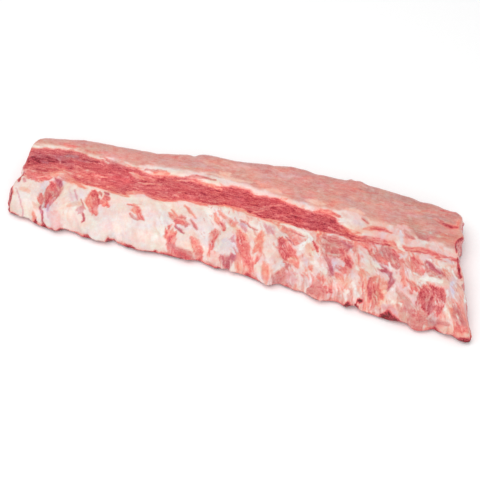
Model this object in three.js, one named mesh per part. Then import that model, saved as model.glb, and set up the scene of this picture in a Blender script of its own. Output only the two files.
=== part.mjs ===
// A rack of raw pork back ribs, lying on its bone side with the meat side up.
//
// Millimetres, +Z up. The rack lies along X, with its thin edge on the -Y side and its thick edge
// on the +Y side. The outline is read from left to right as a fraction of the length, and a section
// joins the two edges at the same fraction, so the sections turn from square at the left end to
// slanted at the right end. Depth is the distance in from the thin edge along a section.

import * as THREE from "three";

const { clamp, lerp, smoothstep } = THREE.MathUtils;

// Driving dimensions
const RIB_COUNT = 11;
const RACK_LENGTH = 486; // along the thin edge
const THICK_EDGE_LENGTH = 446; // the right end is cut on a slant
const THIN_SIDE_HEIGHT = 20;
const THICK_SIDE_HEIGHT = 28;
const RIB_PITCH = RACK_LENGTH / RIB_COUNT;
const LEFT_END_X = -RACK_LENGTH / 2 + 1;
const THICK_EDGE_LEAD = 3; // the thick edge starts this far left of the thin edge

// Both edges in plan: their Y at even steps along the length
const THIN_EDGE_Y = [-33, -35, -32.5, -34.5, -39];
const THICK_EDGE_Y = [63, 74, 78, 83.5, 95.5, 100.5, 108.5, 109, 109, 106.5, 103];

// Lobes of the thin edge, where ribs end, and small steps of the thick edge
const THIN_EDGE_LOBES = [
  { x: -198, reach: 6, spread: 27 },
  { x: -184, reach: 2.5, spread: 8 },
  { x: -141, reach: 4, spread: 16 },
  { x: -97, reach: 2.5, spread: 12 },
  { x: 40, reach: 4.5, spread: 9 },
  { x: 93, reach: 5, spread: 12 },
  { x: 121, reach: 3.5, spread: 6 },
  { x: 154, reach: 3.5, spread: 20 },
  { x: 192, reach: 6, spread: 11 },
  { x: 233, reach: 2.5, spread: 9 },
];
const THICK_EDGE_STEPS = [
  { x: -84, reach: -3, spread: 6 },
  { x: 46, reach: -2, spread: 7 },
  { x: 94, reach: 2.5, spread: 8 },
];

// Corner radii in plan, and how the two end faces stand
const CORNERS = { thinLeft: 6, thickLeft: 7, thinRight: 3, thickRight: 17 };
const END_TOP_ROUNDING = 3;
const END_SPLAY = 2.5; // the foot of an end face stands out this far past its top
const END_SPLAY_FADE = 12;
const END_BULGE = 1.5;
const RIGHT_END_HOLLOW = 4.5; // in plan, the right end curves in this far between its corners
const HOLLOW_FADE = 40;

// Section: lip of the thin side, shoulder of the thick side and the undercut below each
const THIN_LIP = { depth: 9, widestAt: 6, undercut: 5 };
const THICK_SHOULDER = { depth: 14, widestAt: 13, undercut: 9 };
const CREST_RISE_DEPTH = 38; // depth over which the top climbs from the thin side's height

// Relief of the top
const RIB_HUMP = 1.8; // how far the top rises over a rib, and sinks between two
const RIB_PHASE = 0.4; // the first rib's place, in pitches from the left end
const RIB_SLANT = 0.35; // sideways lean of the last rib, in mm for each mm of Y
const RIB_PIVOT_Y = -20;
const RIB_FADE_Y = [5, 22]; // the humps die out between these
const BAND_LOW_Y = [8, 4, 14, 7, 10.5, 8, 15.5, 13, 23, 23, 27, 25, 25, 25, 27, 28, 27.5, 30, 31, 32.5, 32];
const BAND_HIGH_Y = [38, 44, 48, 46.5, 49, 46.5, 46, 50.5, 51.5, 50.5, 57.5]
  .concat([52.5, 56, 51, 54, 42.5, 33.5, 38, 33, 37.5, 36]);
const BAND_SINK = { left: 3.2, right: 1.2, slope: 5 };
const SWELLS = [
  { x: -108, y: -8, rx: 32, ry: 24, rise: 2 },
  { x: 107, y: -13, rx: 11, ry: 11, rise: 2 },
  { x: 142, y: -20, rx: 15, ry: 16, rise: 3.2 },
  { x: 196, y: -17, rx: 16, ry: 17, rise: 3.2 },
  { x: 100, y: 12, rx: 16, ry: 9, rise: 1.6 },
  { x: -200, y: -8, rx: 9, ry: 18, rise: -1 },
  { x: -154, y: -6, rx: 9, ry: 13, rise: -0.8 },
];

// Underside: it rests on a strip along each edge and arches between them over the ribs
const ARCH = { height: 3.8, thinStrip: 14, thickStrip: 20, ramp: 22, leftAtEnds: 0.4, endFade: 30 };
const BONE_RIDGE = 2.6; // how far a rib stands down out of the arch

// Fineness
const STATIONS = 84;
const STATION_CROWDING = 0.4; // stations lie this much closer at the ends
const LIP_STEPS = 5;
const TOP_STEPS = 20;
const SHOULDER_STEPS = 4;
const UNDERCUT_STEPS = 3;

// A smooth value through evenly spaced ones, at fraction 0 to 1 of the way along them
function through(values, fraction) {
  const place = clamp(fraction, 0, 1) * (values.length - 1);
  const k = Math.min(Math.floor(place), values.length - 2);
  const f = place - k;
  const before = values[Math.max(k - 1, 0)];
  const after = values[Math.min(k + 2, values.length - 1)];
  const startSlope = (values[k + 1] - before) / 2;
  const endSlope = (after - values[k]) / 2;
  const rise = values[k + 1] - values[k];
  const bend = 3 * rise - 2 * startSlope - endSlope;
  const twist = startSlope + endSlope - 2 * rise;
  return values[k] + f * (startSlope + f * (bend + f * twist));
}

// A soft bump, 1 at its centre
function bump(offset, spread) {
  return Math.exp(-((offset / spread) ** 2));
}

// How far a rounded corner lies in from the straight edge, at a distance from the end
function cornerCut(distance, radius) {
  const inside = Math.max(radius - distance, 0);
  return radius - Math.sqrt(radius ** 2 - inside ** 2);
}

function edgeBumps(list, x) {
  return list.reduce((sum, one) => sum + one.reach * bump(x - one.x, one.spread), 0);
}

// The two ends of the section at a fraction of the length, corners rounded
function sectionEnds(fraction) {
  const thinX = LEFT_END_X + RACK_LENGTH * fraction;
  const thickX = LEFT_END_X - THICK_EDGE_LEAD + THICK_EDGE_LENGTH * fraction;
  const thinCut =
    cornerCut(RACK_LENGTH * fraction, CORNERS.thinLeft) +
    cornerCut(RACK_LENGTH * (1 - fraction), CORNERS.thinRight);
  const thickCut =
    cornerCut(THICK_EDGE_LENGTH * fraction, CORNERS.thickLeft) +
    cornerCut(THICK_EDGE_LENGTH * (1 - fraction), CORNERS.thickRight);
  const thinY = through(THIN_EDGE_Y, fraction) - edgeBumps(THIN_EDGE_LOBES, thinX);
  const thickY = through(THICK_EDGE_Y, fraction) + edgeBumps(THICK_EDGE_STEPS, thickX);
  const thin = new THREE.Vector2(thinX, thinY);
  const thick = new THREE.Vector2(thickX, thickY);
  const across = thick.clone().sub(thin).normalize();
  thin.addScaledVector(across, thinCut);
  thick.addScaledVector(across, -thickCut);
  return { thin, thick, across };
}

function crestHeight(depth) {
  return lerp(THIN_SIDE_HEIGHT, THICK_SIDE_HEIGHT, 1 - Math.exp(-depth / CREST_RISE_DEPTH));
}

// Cosine wave that is 1 over the middle of a rib and -1 between two
function ribWave(x, y) {
  const along = (x - LEFT_END_X) / RACK_LENGTH;
  const straightX = x + RIB_SLANT * clamp(along, 0, 1) * (y - RIB_PIVOT_Y);
  return Math.cos(2 * Math.PI * ((straightX - LEFT_END_X) / RIB_PITCH - RIB_PHASE));
}

// How far a place lies inside the sunken band of lean meat, 0 to 1
function insideBand(x, y) {
  const along = (x - LEFT_END_X) / THICK_EDGE_LENGTH;
  const low = through(BAND_LOW_Y, along);
  const high = through(BAND_HIGH_Y, along);
  const half = BAND_SINK.slope / 2;
  return smoothstep(y, low - half, low + half) * (1 - smoothstep(y, high - half, high + half));
}

// Relief of the top: humps over the ribs, the sunken band, and muscles that bulge or sink
function topRelief(x, y) {
  const along = clamp((x - LEFT_END_X) / THICK_EDGE_LENGTH, 0, 1);
  const humps = RIB_HUMP * ribWave(x, y) * (1 - smoothstep(y, ...RIB_FADE_Y));
  const sink = lerp(BAND_SINK.left, BAND_SINK.right, along) * insideBand(x, y);
  const swells = SWELLS.reduce(
    (sum, one) => sum + one.rise * bump(Math.hypot((x - one.x) / one.rx, (y - one.y) / one.ry), 1),
    0,
  );
  return humps - sink + swells;
}

// Height of the underside over the table
function undersideHeight(x, y, depth, width, endDistance) {
  const fromThin = depth - THIN_LIP.undercut - ARCH.thinStrip;
  const fromThick = width - depth - THICK_SHOULDER.undercut - ARCH.thickStrip;
  const rise = smoothstep(Math.min(fromThin, fromThick), 0, ARCH.ramp);
  const atEnds = lerp(ARCH.leftAtEnds, 1, smoothstep(endDistance, 0, ARCH.endFade));
  const ridge = BONE_RIDGE * (1 + ribWave(x, y)) * 0.5;
  return rise * atEnds * (ARCH.height - ridge);
}

// Splits a quarter turn into equal steps
function quarterTurn(steps) {
  return Array.from({ length: steps + 1 }, (_, i) => ((Math.PI / 2) * i) / steps);
}

// The top half of a section's outline, from the widest point of the lip to that of the shoulder
function topOutline(width) {
  const points = [];
  for (const turn of quarterTurn(LIP_STEPS)) {
    const depth = THIN_LIP.depth * (1 - Math.cos(turn));
    const height = lerp(THIN_LIP.widestAt, crestHeight(depth), Math.sin(turn));
    points.push({ depth, height, out: -Math.cos(turn), up: Math.sin(turn) });
  }
  for (let i = 1; i < TOP_STEPS; i++) {
    const depth = lerp(THIN_LIP.depth, width - THICK_SHOULDER.depth, i / TOP_STEPS);
    points.push({ depth, height: crestHeight(depth), out: 0, up: 1 });
  }
  for (const turn of quarterTurn(SHOULDER_STEPS)) {
    const depth = width - THICK_SHOULDER.depth * (1 - Math.sin(turn));
    const height = lerp(THICK_SHOULDER.widestAt, crestHeight(depth), Math.cos(turn));
    points.push({ depth, height, out: Math.sin(turn), up: Math.cos(turn) });
  }
  return points;
}

// The bottom half, from beside the lip's widest point to beside the shoulder's
function bottomOutline(width) {
  const points = [];
  for (const turn of quarterTurn(UNDERCUT_STEPS).slice(1)) {
    const depth = THIN_LIP.undercut * (1 - Math.cos(turn));
    points.push({ depth, height: THIN_LIP.widestAt * (1 - Math.sin(turn)) });
  }
  const flatSteps = LIP_STEPS + TOP_STEPS + SHOULDER_STEPS - 2 * UNDERCUT_STEPS;
  for (let i = 1; i < flatSteps; i++) {
    points.push({ depth: lerp(THIN_LIP.undercut, width - THICK_SHOULDER.undercut, i / flatSteps), height: 0 });
  }
  for (const turn of quarterTurn(UNDERCUT_STEPS).slice(0, -1)) {
    const depth = width - THICK_SHOULDER.undercut * (1 - Math.sin(turn));
    points.push({ depth, height: THICK_SHOULDER.widestAt * (1 - Math.cos(turn)) });
  }
  return points;
}

// Shift along X near the ends: the foot of each end stands out, and the right end curves in
function endShift(share, height, leftDistance, rightDistance) {
  const foot = END_SPLAY * (1 - height / THICK_SIDE_HEIGHT);
  const nearRight = Math.exp(-rightDistance / END_SPLAY_FADE);
  const nearLeft = Math.exp(-leftDistance / END_SPLAY_FADE);
  const hollow = RIGHT_END_HOLLOW * 4 * share * (1 - share) * Math.exp(-rightDistance / HOLLOW_FADE);
  return foot * (nearRight - nearLeft) - hollow;
}

// One closed ring of points: over the top from the thin side to the thick side, and back below
function sectionRing(fraction) {
  const { thin, thick, across } = sectionEnds(fraction);
  const width = thin.distanceTo(thick);
  const leftDistance = RACK_LENGTH * fraction;
  const rightDistance = RACK_LENGTH * (1 - fraction);
  const endDistance = Math.min(leftDistance, rightDistance);
  const place = (depth, height) => {
    const flat = thin.clone().addScaledVector(across, depth);
    const shift = endShift(depth / width, height, leftDistance, rightDistance);
    return new THREE.Vector3(flat.x + shift, flat.y, height);
  };
  const top = topOutline(width).map(({ depth, height, out, up }) => {
    const flat = thin.clone().addScaledVector(across, depth);
    const relief = topRelief(flat.x, flat.y) - cornerCut(endDistance, END_TOP_ROUNDING) * up;
    return place(depth + out * relief, height + up * relief);
  });
  const bottom = bottomOutline(width).map(({ depth, height }) => {
    const flat = thin.clone().addScaledVector(across, depth);
    const lift = height > 0 ? height : undersideHeight(flat.x, flat.y, depth, width, endDistance);
    return place(depth, lift);
  });
  return [...top, ...bottom.reverse()];
}

// Vertices and triangles gathered while the surface is built
class Surface {
  positions = [];
  indices = [];

  addRing(points) {
    const first = this.positions.length / 3;
    points.forEach((p) => this.positions.push(p.x, p.y, p.z));
    return points.map((_, i) => first + i);
  }

  addQuad(a, b, c, d) {
    this.indices.push(a, b, c, a, c, d);
  }

  // Skin between two closed rings
  joinRings(ring, next) {
    ring.forEach((vertex, i) => {
      const following = (i + 1) % ring.length;
      this.addQuad(vertex, next[i], next[following], ring[following]);
    });
  }

  // Closes an end: the top of the ring is joined to its bottom over a row that bulges outwards
  closeEnd(ring, points, outward) {
    const half = ring.length / 2;
    const tops = Array.from({ length: half - 1 }, (_, i) => i + 1);
    const bottoms = tops.map((top) => ring.length - top);
    const middle = tops.map((top, i) => {
      const p = points[top].clone().lerp(points[bottoms[i]], 0.5);
      p.x += outward * END_BULGE;
      return p;
    });
    const row = (between) => [ring[0], ...between, ring[half]];
    const middleRow = row(this.addRing(middle));
    this.fillStrip(row(tops.map((i) => ring[i])), middleRow, outward);
    this.fillStrip(middleRow, row(bottoms.map((i) => ring[i])), outward);
  }

  // Faces between two rows that share their first and last vertex
  fillStrip(upper, lower, outward) {
    for (let i = 0; i < upper.length - 1; i++) {
      const corners = [upper[i], lower[i], lower[i + 1], upper[i + 1]];
      const turned = outward < 0 ? corners.reverse() : corners;
      const distinct = turned.filter((corner, k) => corner !== turned[(k + 1) % turned.length]);
      if (distinct.length === 3) this.indices.push(...distinct);
      else this.addQuad(...distinct);
    }
  }

  toGeometry() {
    const geometry = new THREE.BufferGeometry();
    geometry.setAttribute("position", new THREE.Float32BufferAttribute(this.positions, 3));
    geometry.setIndex(this.indices);
    return geometry;
  }
}

// The fraction of the length at a station, crowded towards both ends
function stationFraction(station) {
  const even = station / STATIONS;
  return even - (STATION_CROWDING * Math.sin(2 * Math.PI * even)) / (2 * Math.PI);
}

function rackGeometry() {
  const surface = new Surface();
  const rings = Array.from({ length: STATIONS + 1 }, (_, i) => sectionRing(stationFraction(i)));
  const rows = rings.map((points) => surface.addRing(points));
  for (let i = 0; i < STATIONS; i++) {
    surface.joinRings(rows[i], rows[i + 1]);
  }
  surface.closeEnd(rows[0], rings[0], -1);
  surface.closeEnd(rows[STATIONS], rings[STATIONS], 1);
  return surface.toGeometry();
}

// Stands the geometry on Z = 0 with the middle of its box over the origin
function centreOnTable(geometry) {
  geometry.computeBoundingBox();
  const { min, max } = geometry.boundingBox;
  geometry.translate(-(min.x + max.x) / 2, -(min.y + max.y) / 2, -min.z);
  geometry.computeVertexNormals();
  return geometry;
}

const rawMeat = new THREE.MeshStandardMaterial({ color: 0xdf9d92, roughness: 0.4, metalness: 0 });

const ribRack = new THREE.Mesh(centreOnTable(rackGeometry()), rawMeat);
ribRack.name = "rib_rack";

const backRibs = new THREE.Group();
backRibs.name = "pork_back_ribs";
backRibs.add(ribRack);

export default backRibs;
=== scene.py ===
"""Looks of a raw rack of pork back ribs, lying on its bone side with the meat side up.

The rack is laid out in millimetres: X runs along it and Y across it, from the thin edge at about
Y = -35 to the thick edge beyond the dark band. One closed mesh is made in this layout, painted with
soft strokes, and then moved into the frame's box and scaled to metres.
"""

import bpy
import numpy as np
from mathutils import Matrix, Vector


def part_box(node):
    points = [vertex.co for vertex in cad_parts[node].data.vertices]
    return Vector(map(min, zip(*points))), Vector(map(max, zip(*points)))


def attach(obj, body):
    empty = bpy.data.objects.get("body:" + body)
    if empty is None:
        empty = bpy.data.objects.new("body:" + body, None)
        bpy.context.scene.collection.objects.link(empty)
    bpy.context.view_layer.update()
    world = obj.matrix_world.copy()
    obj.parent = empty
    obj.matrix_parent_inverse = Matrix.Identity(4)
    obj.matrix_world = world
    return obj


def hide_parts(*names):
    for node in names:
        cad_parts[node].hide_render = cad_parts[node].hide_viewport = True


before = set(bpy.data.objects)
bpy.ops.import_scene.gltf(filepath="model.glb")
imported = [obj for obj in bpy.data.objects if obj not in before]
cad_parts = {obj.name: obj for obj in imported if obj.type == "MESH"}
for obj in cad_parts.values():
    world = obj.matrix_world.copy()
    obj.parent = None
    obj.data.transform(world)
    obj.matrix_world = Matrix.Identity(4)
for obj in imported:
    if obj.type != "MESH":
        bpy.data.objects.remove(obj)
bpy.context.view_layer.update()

# A noise is given by its length, width and seed, and its octaves where those aren't three. A fade is
# the two values between which something grows from none to full, or shrinks. A decay is the distance
# in which it shrinks to about a third.

# Driving sizes of the form, in millimetres
RIB_COUNT = 11
RACK_LENGTH = 486
THICK_EDGE_LENGTH = 446
THIN_SIDE_HEIGHT = 20
THICK_SIDE_HEIGHT = 28
RIB_PITCH = RACK_LENGTH / RIB_COUNT
LEFT_END_X = -RACK_LENGTH / 2 + 1
THICK_EDGE_LEAD = 3

# Both edges in plan: their Y at even steps along the length, then lobes and steps on them
MEAN_THIN_EDGE_Y = -35
THIN_EDGE_Y = [-33, -35, -32.5, -34.5, -39]
THICK_EDGE_Y = [63, 74, 78, 83.5, 95.5, 100.5, 108.5, 109, 109, 106.5, 103]
THIN_EDGE_LOBES = [  # X, reach, spread
    (-198, 6, 27), (-184, 2.5, 8), (-141, 4, 16), (-97, 2.5, 12), (40, 4.5, 9),
    (93, 5, 12), (121, 3.5, 6), (154, 3.5, 20), (192, 6, 11), (233, 2.5, 9),
    (-220, -2.6, 8), (-177, -2.8, 5), (-156, 2.4, 6), (-124, -3.2, 4), (-109, 1.2, 4),
    (-34, -2.8, 8), (-15, 1.4, 4), (-3, -2.8, 4), (26, 1.2, 8), (50, -2.2, 5), (68, 1.4, 4),
    (128, -3.2, 3.5), (167, 1.2, 7), (183, -2, 4), (208, -2.2, 4), (226, -2, 5), (239, 1.4, 4),
]
THICK_EDGE_STEPS = [
    (-211, -1.2, 6), (-118, -1.6, 6), (-81, -2.4, 3), (-72, 1.4, 9), (-38, -1.2, 14), (3, -1.2, 5),
    (21, 0.8, 5), (46, -2, 7), (60, -0.9, 12), (83, 2.4, 3), (92, 3.4, 7), (159, -1.6, 6),
    (186, -1.5, 8),
]
LEFT_END_STEPS = [  # Y, reach, spread
    (60, -2.4, 9), (40, 2.3, 16), (17, 0.9, 4), (4, -2.9, 6), (-13, 1.5, 5), (-28, -1.6, 5),
]
RIGHT_END_STEPS = [
    (92, 1.2, 5), (77, -0.8, 4), (67, 2.8, 5), (54, -4.2, 8), (39, -3, 10), (7, -1.5, 6), (-22, -2.5, 11),
]
END_STEP_DECAY = 8

# Corner radii in plan, and how the two end faces stand
THIN_LEFT_CORNER, THICK_LEFT_CORNER = 6, 7
THIN_RIGHT_CORNER, THICK_RIGHT_CORNER = 3, 8
END_TOP_ROUNDING = 3
END_SPLAY, END_SPLAY_DECAY = 2.5, 12
RIGHT_END_HOLLOW, HOLLOW_DECAY = 4.5, 40
END_BULGE, END_LUMPS, END_LUMP_SIZE = 1.5, 0.5, (5, 3)
LEFT_CAP_SEED, RIGHT_CAP_SEED = 301, 331

# Section: lip of the thin side, shoulder of the thick side and the undercut below each
LIP_DEPTH, LIP_WIDEST_AT, LIP_UNDERCUT = 9, 6, 5
SHOULDER_DEPTH, SHOULDER_WIDEST_AT, SHOULDER_UNDERCUT = 14, 13, 9
CREST_RISE_DEPTH = 38

# Relief of the top
RIB_HUMP, RIB_PHASE, RIB_SLANT, RIB_PIVOT_Y = 1.8, 0.4, 0.35, -20
RIB_FADE = (5, 22)
BAND_SINK_LEFT, BAND_SINK_RIGHT, BAND_SLOPE = 3.0, 1.2, 12
SWELLS = [  # X, Y, X radius, Y radius, rise
    (-108, -8, 32, 24, 2), (107, -13, 11, 11, 2), (142, -20, 15, 16, 3.2), (196, -17, 16, 17, 3.2),
    (100, 12, 16, 9, 1.6), (-200, -8, 9, 18, -1), (-154, -6, 9, 13, -0.8),
]
LUMPS, LUMP_NOISE = 0.5, (13, 9, 201)
SMALL_LUMPS, SMALL_LUMP_NOISE = 0.28, (4.5, 3.5, 211)
PATCH_SINK = 0.7  # how far muscle lies below the fat around it
PATCH_FADE, SINK_FADE = (0.25, 0.6), (-8, -2)  # by redness, and by distance from the band
GRAIN_RELIEF, FAT_GRAIN_SHARE, GRAIN_FADE = 0.3, 0.35, (0.3, 0.7)  # stronger with redness
TATTER, TATTER_REACH, TATTER_NOISE = 1.7, 5, (5, 5, 221)  # how ragged the thin side's foot is
END_TATTER, END_TATTER_SIZE, END_TATTER_DECAY = 1.3, 5, 3
END_TATTER_SEED, LEFT_TATTER_SHIFT = 521, 40

# Underside
UNDER_FRINGE = 1.5  # how far the dark foot reaches in below
ARCH_HEIGHT, ARCH_THIN_STRIP, ARCH_THICK_STRIP, ARCH_RAMP = 3.8, 14, 20, 22
ARCH_LEFT_AT_ENDS, ARCH_END_RAMP = 0.4, 30
BONE_RIDGE = 2.6
UNDER_LUMPS, UNDER_LUMP_NOISE, UNDER_LUMP_FADE = 0.25, (8, 8, 231), (0.2, 2)
STRIP_FADE = (-34, -16)  # distances from the thick edge where the fatty strip along it begins
LIP_COLOUR_FADE, SHOULDER_COLOUR_FADE = (1.5, 4.5), (1, 10)  # heights where the top's colours begin

# Edges of the dark band of lean meat and of the pink side above it: their Y every EDGE_STEP along X
EDGE_START, EDGE_STEP = -240, 10
BAND_LOW = [
    12, 11, 11, 15, 22, 14, 10, 11, 12, 11, 9, 9, 14, 17, 14, 15, 18, 23, 25, 25, 26, 28, 30, 29, 26,
    26, 25, 25, 26, 26, 25.5, 27, 28, 30, 29, 27.5, 29, 30, 31, 32.5, 32, 33, 34, 32.5, 31.5, 34,
]
BAND_HIGH = [
    41, 45, 47, 49, 49.5, 49.5, 48, 46, 47.5, 48.5, 47, 48, 46, 45, 49, 50, 51.5, 52.5, 52, 51.5, 52,
    56, 58, 57, 53.5, 54.5, 55, 53, 52, 50.5, 49.5, 53, 51, 43, 38.5, 33.5, 36.5, 38, 38, 33, 33.5,
    35, 35, 35, 34, 35,
]
SIDE_LOW = [
    45, 49, 51, 52, 52, 51.5, 50, 50, 52, 52, 51.5, 51, 55, 58, 59, 60, 62, 63, 63.5, 62, 64, 63.5,
    63, 62.5, 61.5, 61.5, 60, 58.5, 58, 58, 57.5, 58, 58.5, 62, 63, 60, 58.5, 58, 57, 56, 53, 50,
    51.5, 51, 49, 47.5,
]

# Fineness of the mesh
STATIONS = 560
CROWDING = 0.15  # how much closer the sections lie at both ends
LIP_ROWS, MIDDLE_ROWS, SHOULDER_ROWS = 14, 110, 10
UNDERCUT_ROWS, UNDER_ROWS = 5, 22
CAP_ROWS = 14

# What a stroke lays down: redness from white fat to maroon, dullness, violet and warmth
REDNESS, DULLNESS, VIOLET, WARMTH = range(4)
WHITE = (0.06, 0, 0, 0)
FAT = (0.13, 0, 0, 0.25)
LILAC = (0.16, 0.2, 0.28, 0)
BLUSH = (0.28, 0, 0.1, 0)
ORCHID = (0.4, 0.2, 0.45, 0)
PEACH = (0.27, 0, 0, 0.7)
SALMON = (0.49, 0, 0, 0.6)
CORAL = (0.63, 0, 0, 0.3)
ROSE = (0.6, 0.8, 0.1, 0)
MAUVE = (0.68, 0.6, 0.65, 0)
CRIMSON = (0.77, 0.12, 0, 0)
MAROON = (0.93, 0.3, 0.1, 0)
# Darkest paint: torn meat, and painted shade along the undercut foot of the thin side
TORN_MEAT_AND_SHADE = (1.08, 0, 0, 0)
FILM = (0.46, 0.9, 0, 0.1)
DUSK = (0.54, 1, 0.1, 0)

# Strokes on the meat side: paint, half-width, then X and Y of each point of the path. A list of
# half-widths runs evenly from start to end; a single number is the widest, in the middle of the path.
LEFT_END = [
    (LILAC, [5, 4], (-214, 2), (-210, -5)),
    (PEACH, [3, 2], (-230, -15), (-222, -17)),
    (CORAL, 7, (-234, 8), (-228, 4), (-221, 5), (-213, 10), (-207, 15)),
    (MAUVE, 1, (-241, 14), (-240.5, 6), (-240, 0)),
    (MAROON, 1.8, (-240, -1), (-239, -4), (-238, -7)),
    (MAROON, 3, (-242, -14), (-241, -22), (-240, -32)),
    (ORCHID, 0.7, (-237, -15), (-229, -27), (-220, -36)),
    (SALMON, 2.4, (-211, -36), (-208, -39)),
    (CORAL, 3, (-240, 10), (-236, 9), (-232, 8)),
    (CORAL, 2.4, (-239, 5), (-237, 4), (-233, 3)),
    (ORCHID, 2.4, (-235, -2), (-231, -6)),
    (PEACH, 3.4, (-212, -27), (-208, -29), (-204, -31)),
    (PEACH, 2, (-219, 1), (-215, -1)),
    (WHITE, 3, (-245, 20), (-243, 13)),
]
FOOT = [
    (ROSE, [1.4, 2.2, 1.8], (-66, -31), (-51, -32), (-36, -32)),
    (CRIMSON, 1.8, (-58, -33), (-42, -33)),
    (CRIMSON, 2.4, (95, -36), (100, -34), (105, -33)),
    # a dark line right at the foot: torn meat and painted shade
    (TORN_MEAT_AND_SHADE, 0.8, (129, -33.4), (133, -35), (137, -34.6)),
    (CORAL, [1.6, 2.2, 1.6], (228, -37), (235, -38), (241, -37)),
    (ROSE, 4.5, (84, -35), (91, -35), (98, -36)),
    (ROSE, 4, (184, -38), (191, -40), (197, -40)),
]
RIB_ONE = [
    (ROSE, 7.5, (-200, 3), (-198, -4), (-198, -11), (-200, -25)),
    (MAUVE, 3.5, (-204, 10), (-200, 8), (-194, 0)),
    (CORAL, [1.4, 2, 2.5, 2], (-205, 2), (-206, -5), (-204, -18)),
    (CRIMSON, 3.5, (-203, -10), (-202, -16), (-200, -26)),
    (MAUVE, 0.7, (-200, -1), (-195, -8), (-192, -14)),
    (MAUVE, [1, 1.7, 1.3], (-205, -27), (-202, -33), (-199, -40)),
    (ORCHID, 1.4, (-199, -24), (-196, -30), (-193, -37)),
    (BLUSH, [1, 1.2, 1], (-184, -2), (-179, -8), (-176, -14)),
    (ORCHID, 1, (-179, 0), (-174, -7), (-171, -12)),
    (PEACH, [2.5, 2.5, 1.6], (-168, -14), (-174, -18), (-177, -21)),
    (CORAL, 3, (-210, -14), (-208, -19), (-206, -24)),
    (CRIMSON, 3.6, (-206, 4), (-204, 1), (-202, -3)),
    (ORCHID, 3, (-196, -14), (-197, -19), (-197, -23)),
    (BLUSH, 6, (-192, -35), (-186, -37), (-180, -38)),
]
RIB_TWO = [
    (CORAL, 6.5, (-160, 4), (-156, -7), (-148, -20)),
    (SALMON, [3, 4, 3], (-162, -3), (-160, -8), (-157, -12)),
    (CRIMSON, [2.5, 3, 2], (-160, 6), (-157, 3), (-154, 1)),
    (ROSE, [1.6, 1.8, 1], (-154, 6), (-151, 4), (-149, 1)),
    (CRIMSON, 2, (-154, -1), (-150, -5), (-148, -9)),
    (ROSE, 1, (-168, -9), (-164, -14), (-160, -18)),
    (MAUVE, 1.3, (-163, -21), (-156.5, -28), (-155, -32), (-157.5, -34)),
    (CORAL, 2, (-143, -3), (-139, -10), (-136, -11)),
    (CRIMSON, 7, (-145, 0), (-143, -2)),
    (MAUVE, 1.5, (-148, 6.5), (-144.5, 5), (-141.5, 4)),
    (CORAL, 3, (-147, -4), (-144, -7), (-142, -10)),
    (ORCHID, 3, (-164, -15), (-164, -20), (-163, -24)),
    (SALMON, 3, (-180, 8), (-175, 7), (-169, 6)),
]
RIB_THREE = [
    (CORAL, [0.8, 1.3, 2, 3, 2.5, 2, 1], (-120, 0), (-114, 1), (-109, -1), (-101, -14), (-96, -17)),
    (ROSE, 1.4, (-114, -10), (-110, -13), (-103, -17)),
    (FAT, 2.4, (-109, 1), (-105, -1), (-102, -4)),
    (SALMON, 3, (-114, -2), (-112, -5), (-109, -8)),
]
RIB_FOUR = [
    (SALMON, [1, 1.6, 1.3], (-75, 8), (-71, 5), (-67, 2)),
    (ROSE, 5, (-68, -3), (-64, -1), (-59, -2), (-55, -6)),
    (CORAL, [2, 3.5, 2.5], (-66, -1), (-62, -2), (-58, -4)),
    (CRIMSON, 1.8, (-68, -5), (-65, -6), (-61, -6)),
    (MAUVE, 1.6, (-65, -9), (-58, -14), (-53, -17)),
    (SALMON, 1.8, (-65, 17), (-56, 10), (-48, 4)),
    (ROSE, 1.8, (-52, 0), (-46, -6), (-42, -9)),
    (CORAL, 3, (-71, -11), (-72, -15), (-70, -23), (-68, -26)),
    (CORAL, [2, 3.8, 4.6, 4.6], (-63, -18), (-62, -27), (-62, -31)),
    (CRIMSON, [1.4, 2, 1.6], (-66, -22), (-66, -26), (-66, -31)),
    (SALMON, 3, (-76, 3), (-73, 1), (-70, -1)),
    (FAT, 2, (-58, 3), (-56, 1), (-54, -2)),
    (WHITE, 5, (-82, -9), (-78, -15), (-75, -21)),
    (SALMON, 2.2, (-67, -14), (-66, -18), (-66, -21)),
    (WHITE, 5, (-43, 18), (-37, 19), (-31, 20)),
]
RIB_FIVE = [
    (CORAL, 4.5, (-43, -20), (-37, -26), (-31, -29)),
    (SALMON, 2.5, (-32, 16), (-28, 10), (-17, -1)),
    (CRIMSON, 2, (-24, 8), (-18, 3), (-17, 0)),
    (SALMON, 3, (-29, 20), (-9, 8), (0, 0)),
]
RIB_SIX = [
    (CORAL, 4.5, (-25, -1), (-25, -6), (-22, -28)),
    (LILAC, [4, 5.5, 5], (-9, -13), (-7, -19), (-9, -25)),
    (MAUVE, 3, (-12, -30), (0, -28), (5, -27)),
    (ROSE, 1.7, (-5, 16), (0, 15), (5, 12), (15, 10)),
    (CORAL, [1.8, 3.5, 5, 5.5, 6, 6], (-3, 2), (2, -4), (19, -30)),
    (ORCHID, 3.5, (-2, 11), (1, 9), (4, 5)),
    (SALMON, 4, (7, -24), (9, -29), (11, -34)),
    (ORCHID, 3, (-5, -6), (-5, -10), (-4, -13)),
    (BLUSH, 5, (-20, -27), (-16, -30), (-12, -33)),
]
RIB_SEVEN = [
    (SALMON, 5, (20, 9), (20, 4), (22, -8), (20, -14)),
    (CORAL, 2.5, (24, -9), (26, -15), (26, -22), (25, -27)),
    (SALMON, [2.5, 3.5, 2.5], (34, -27), (37, -31), (40, -35)),
    (SALMON, [2, 3, 2.5, 2], (23, 26), (36, 21), (43, 16)),
    (ORCHID, 5, (22, 17), (27, 14), (31, 10)),
    (FAT, 3.5, (33, -14), (35, -18), (37, -24)),
]
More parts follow.
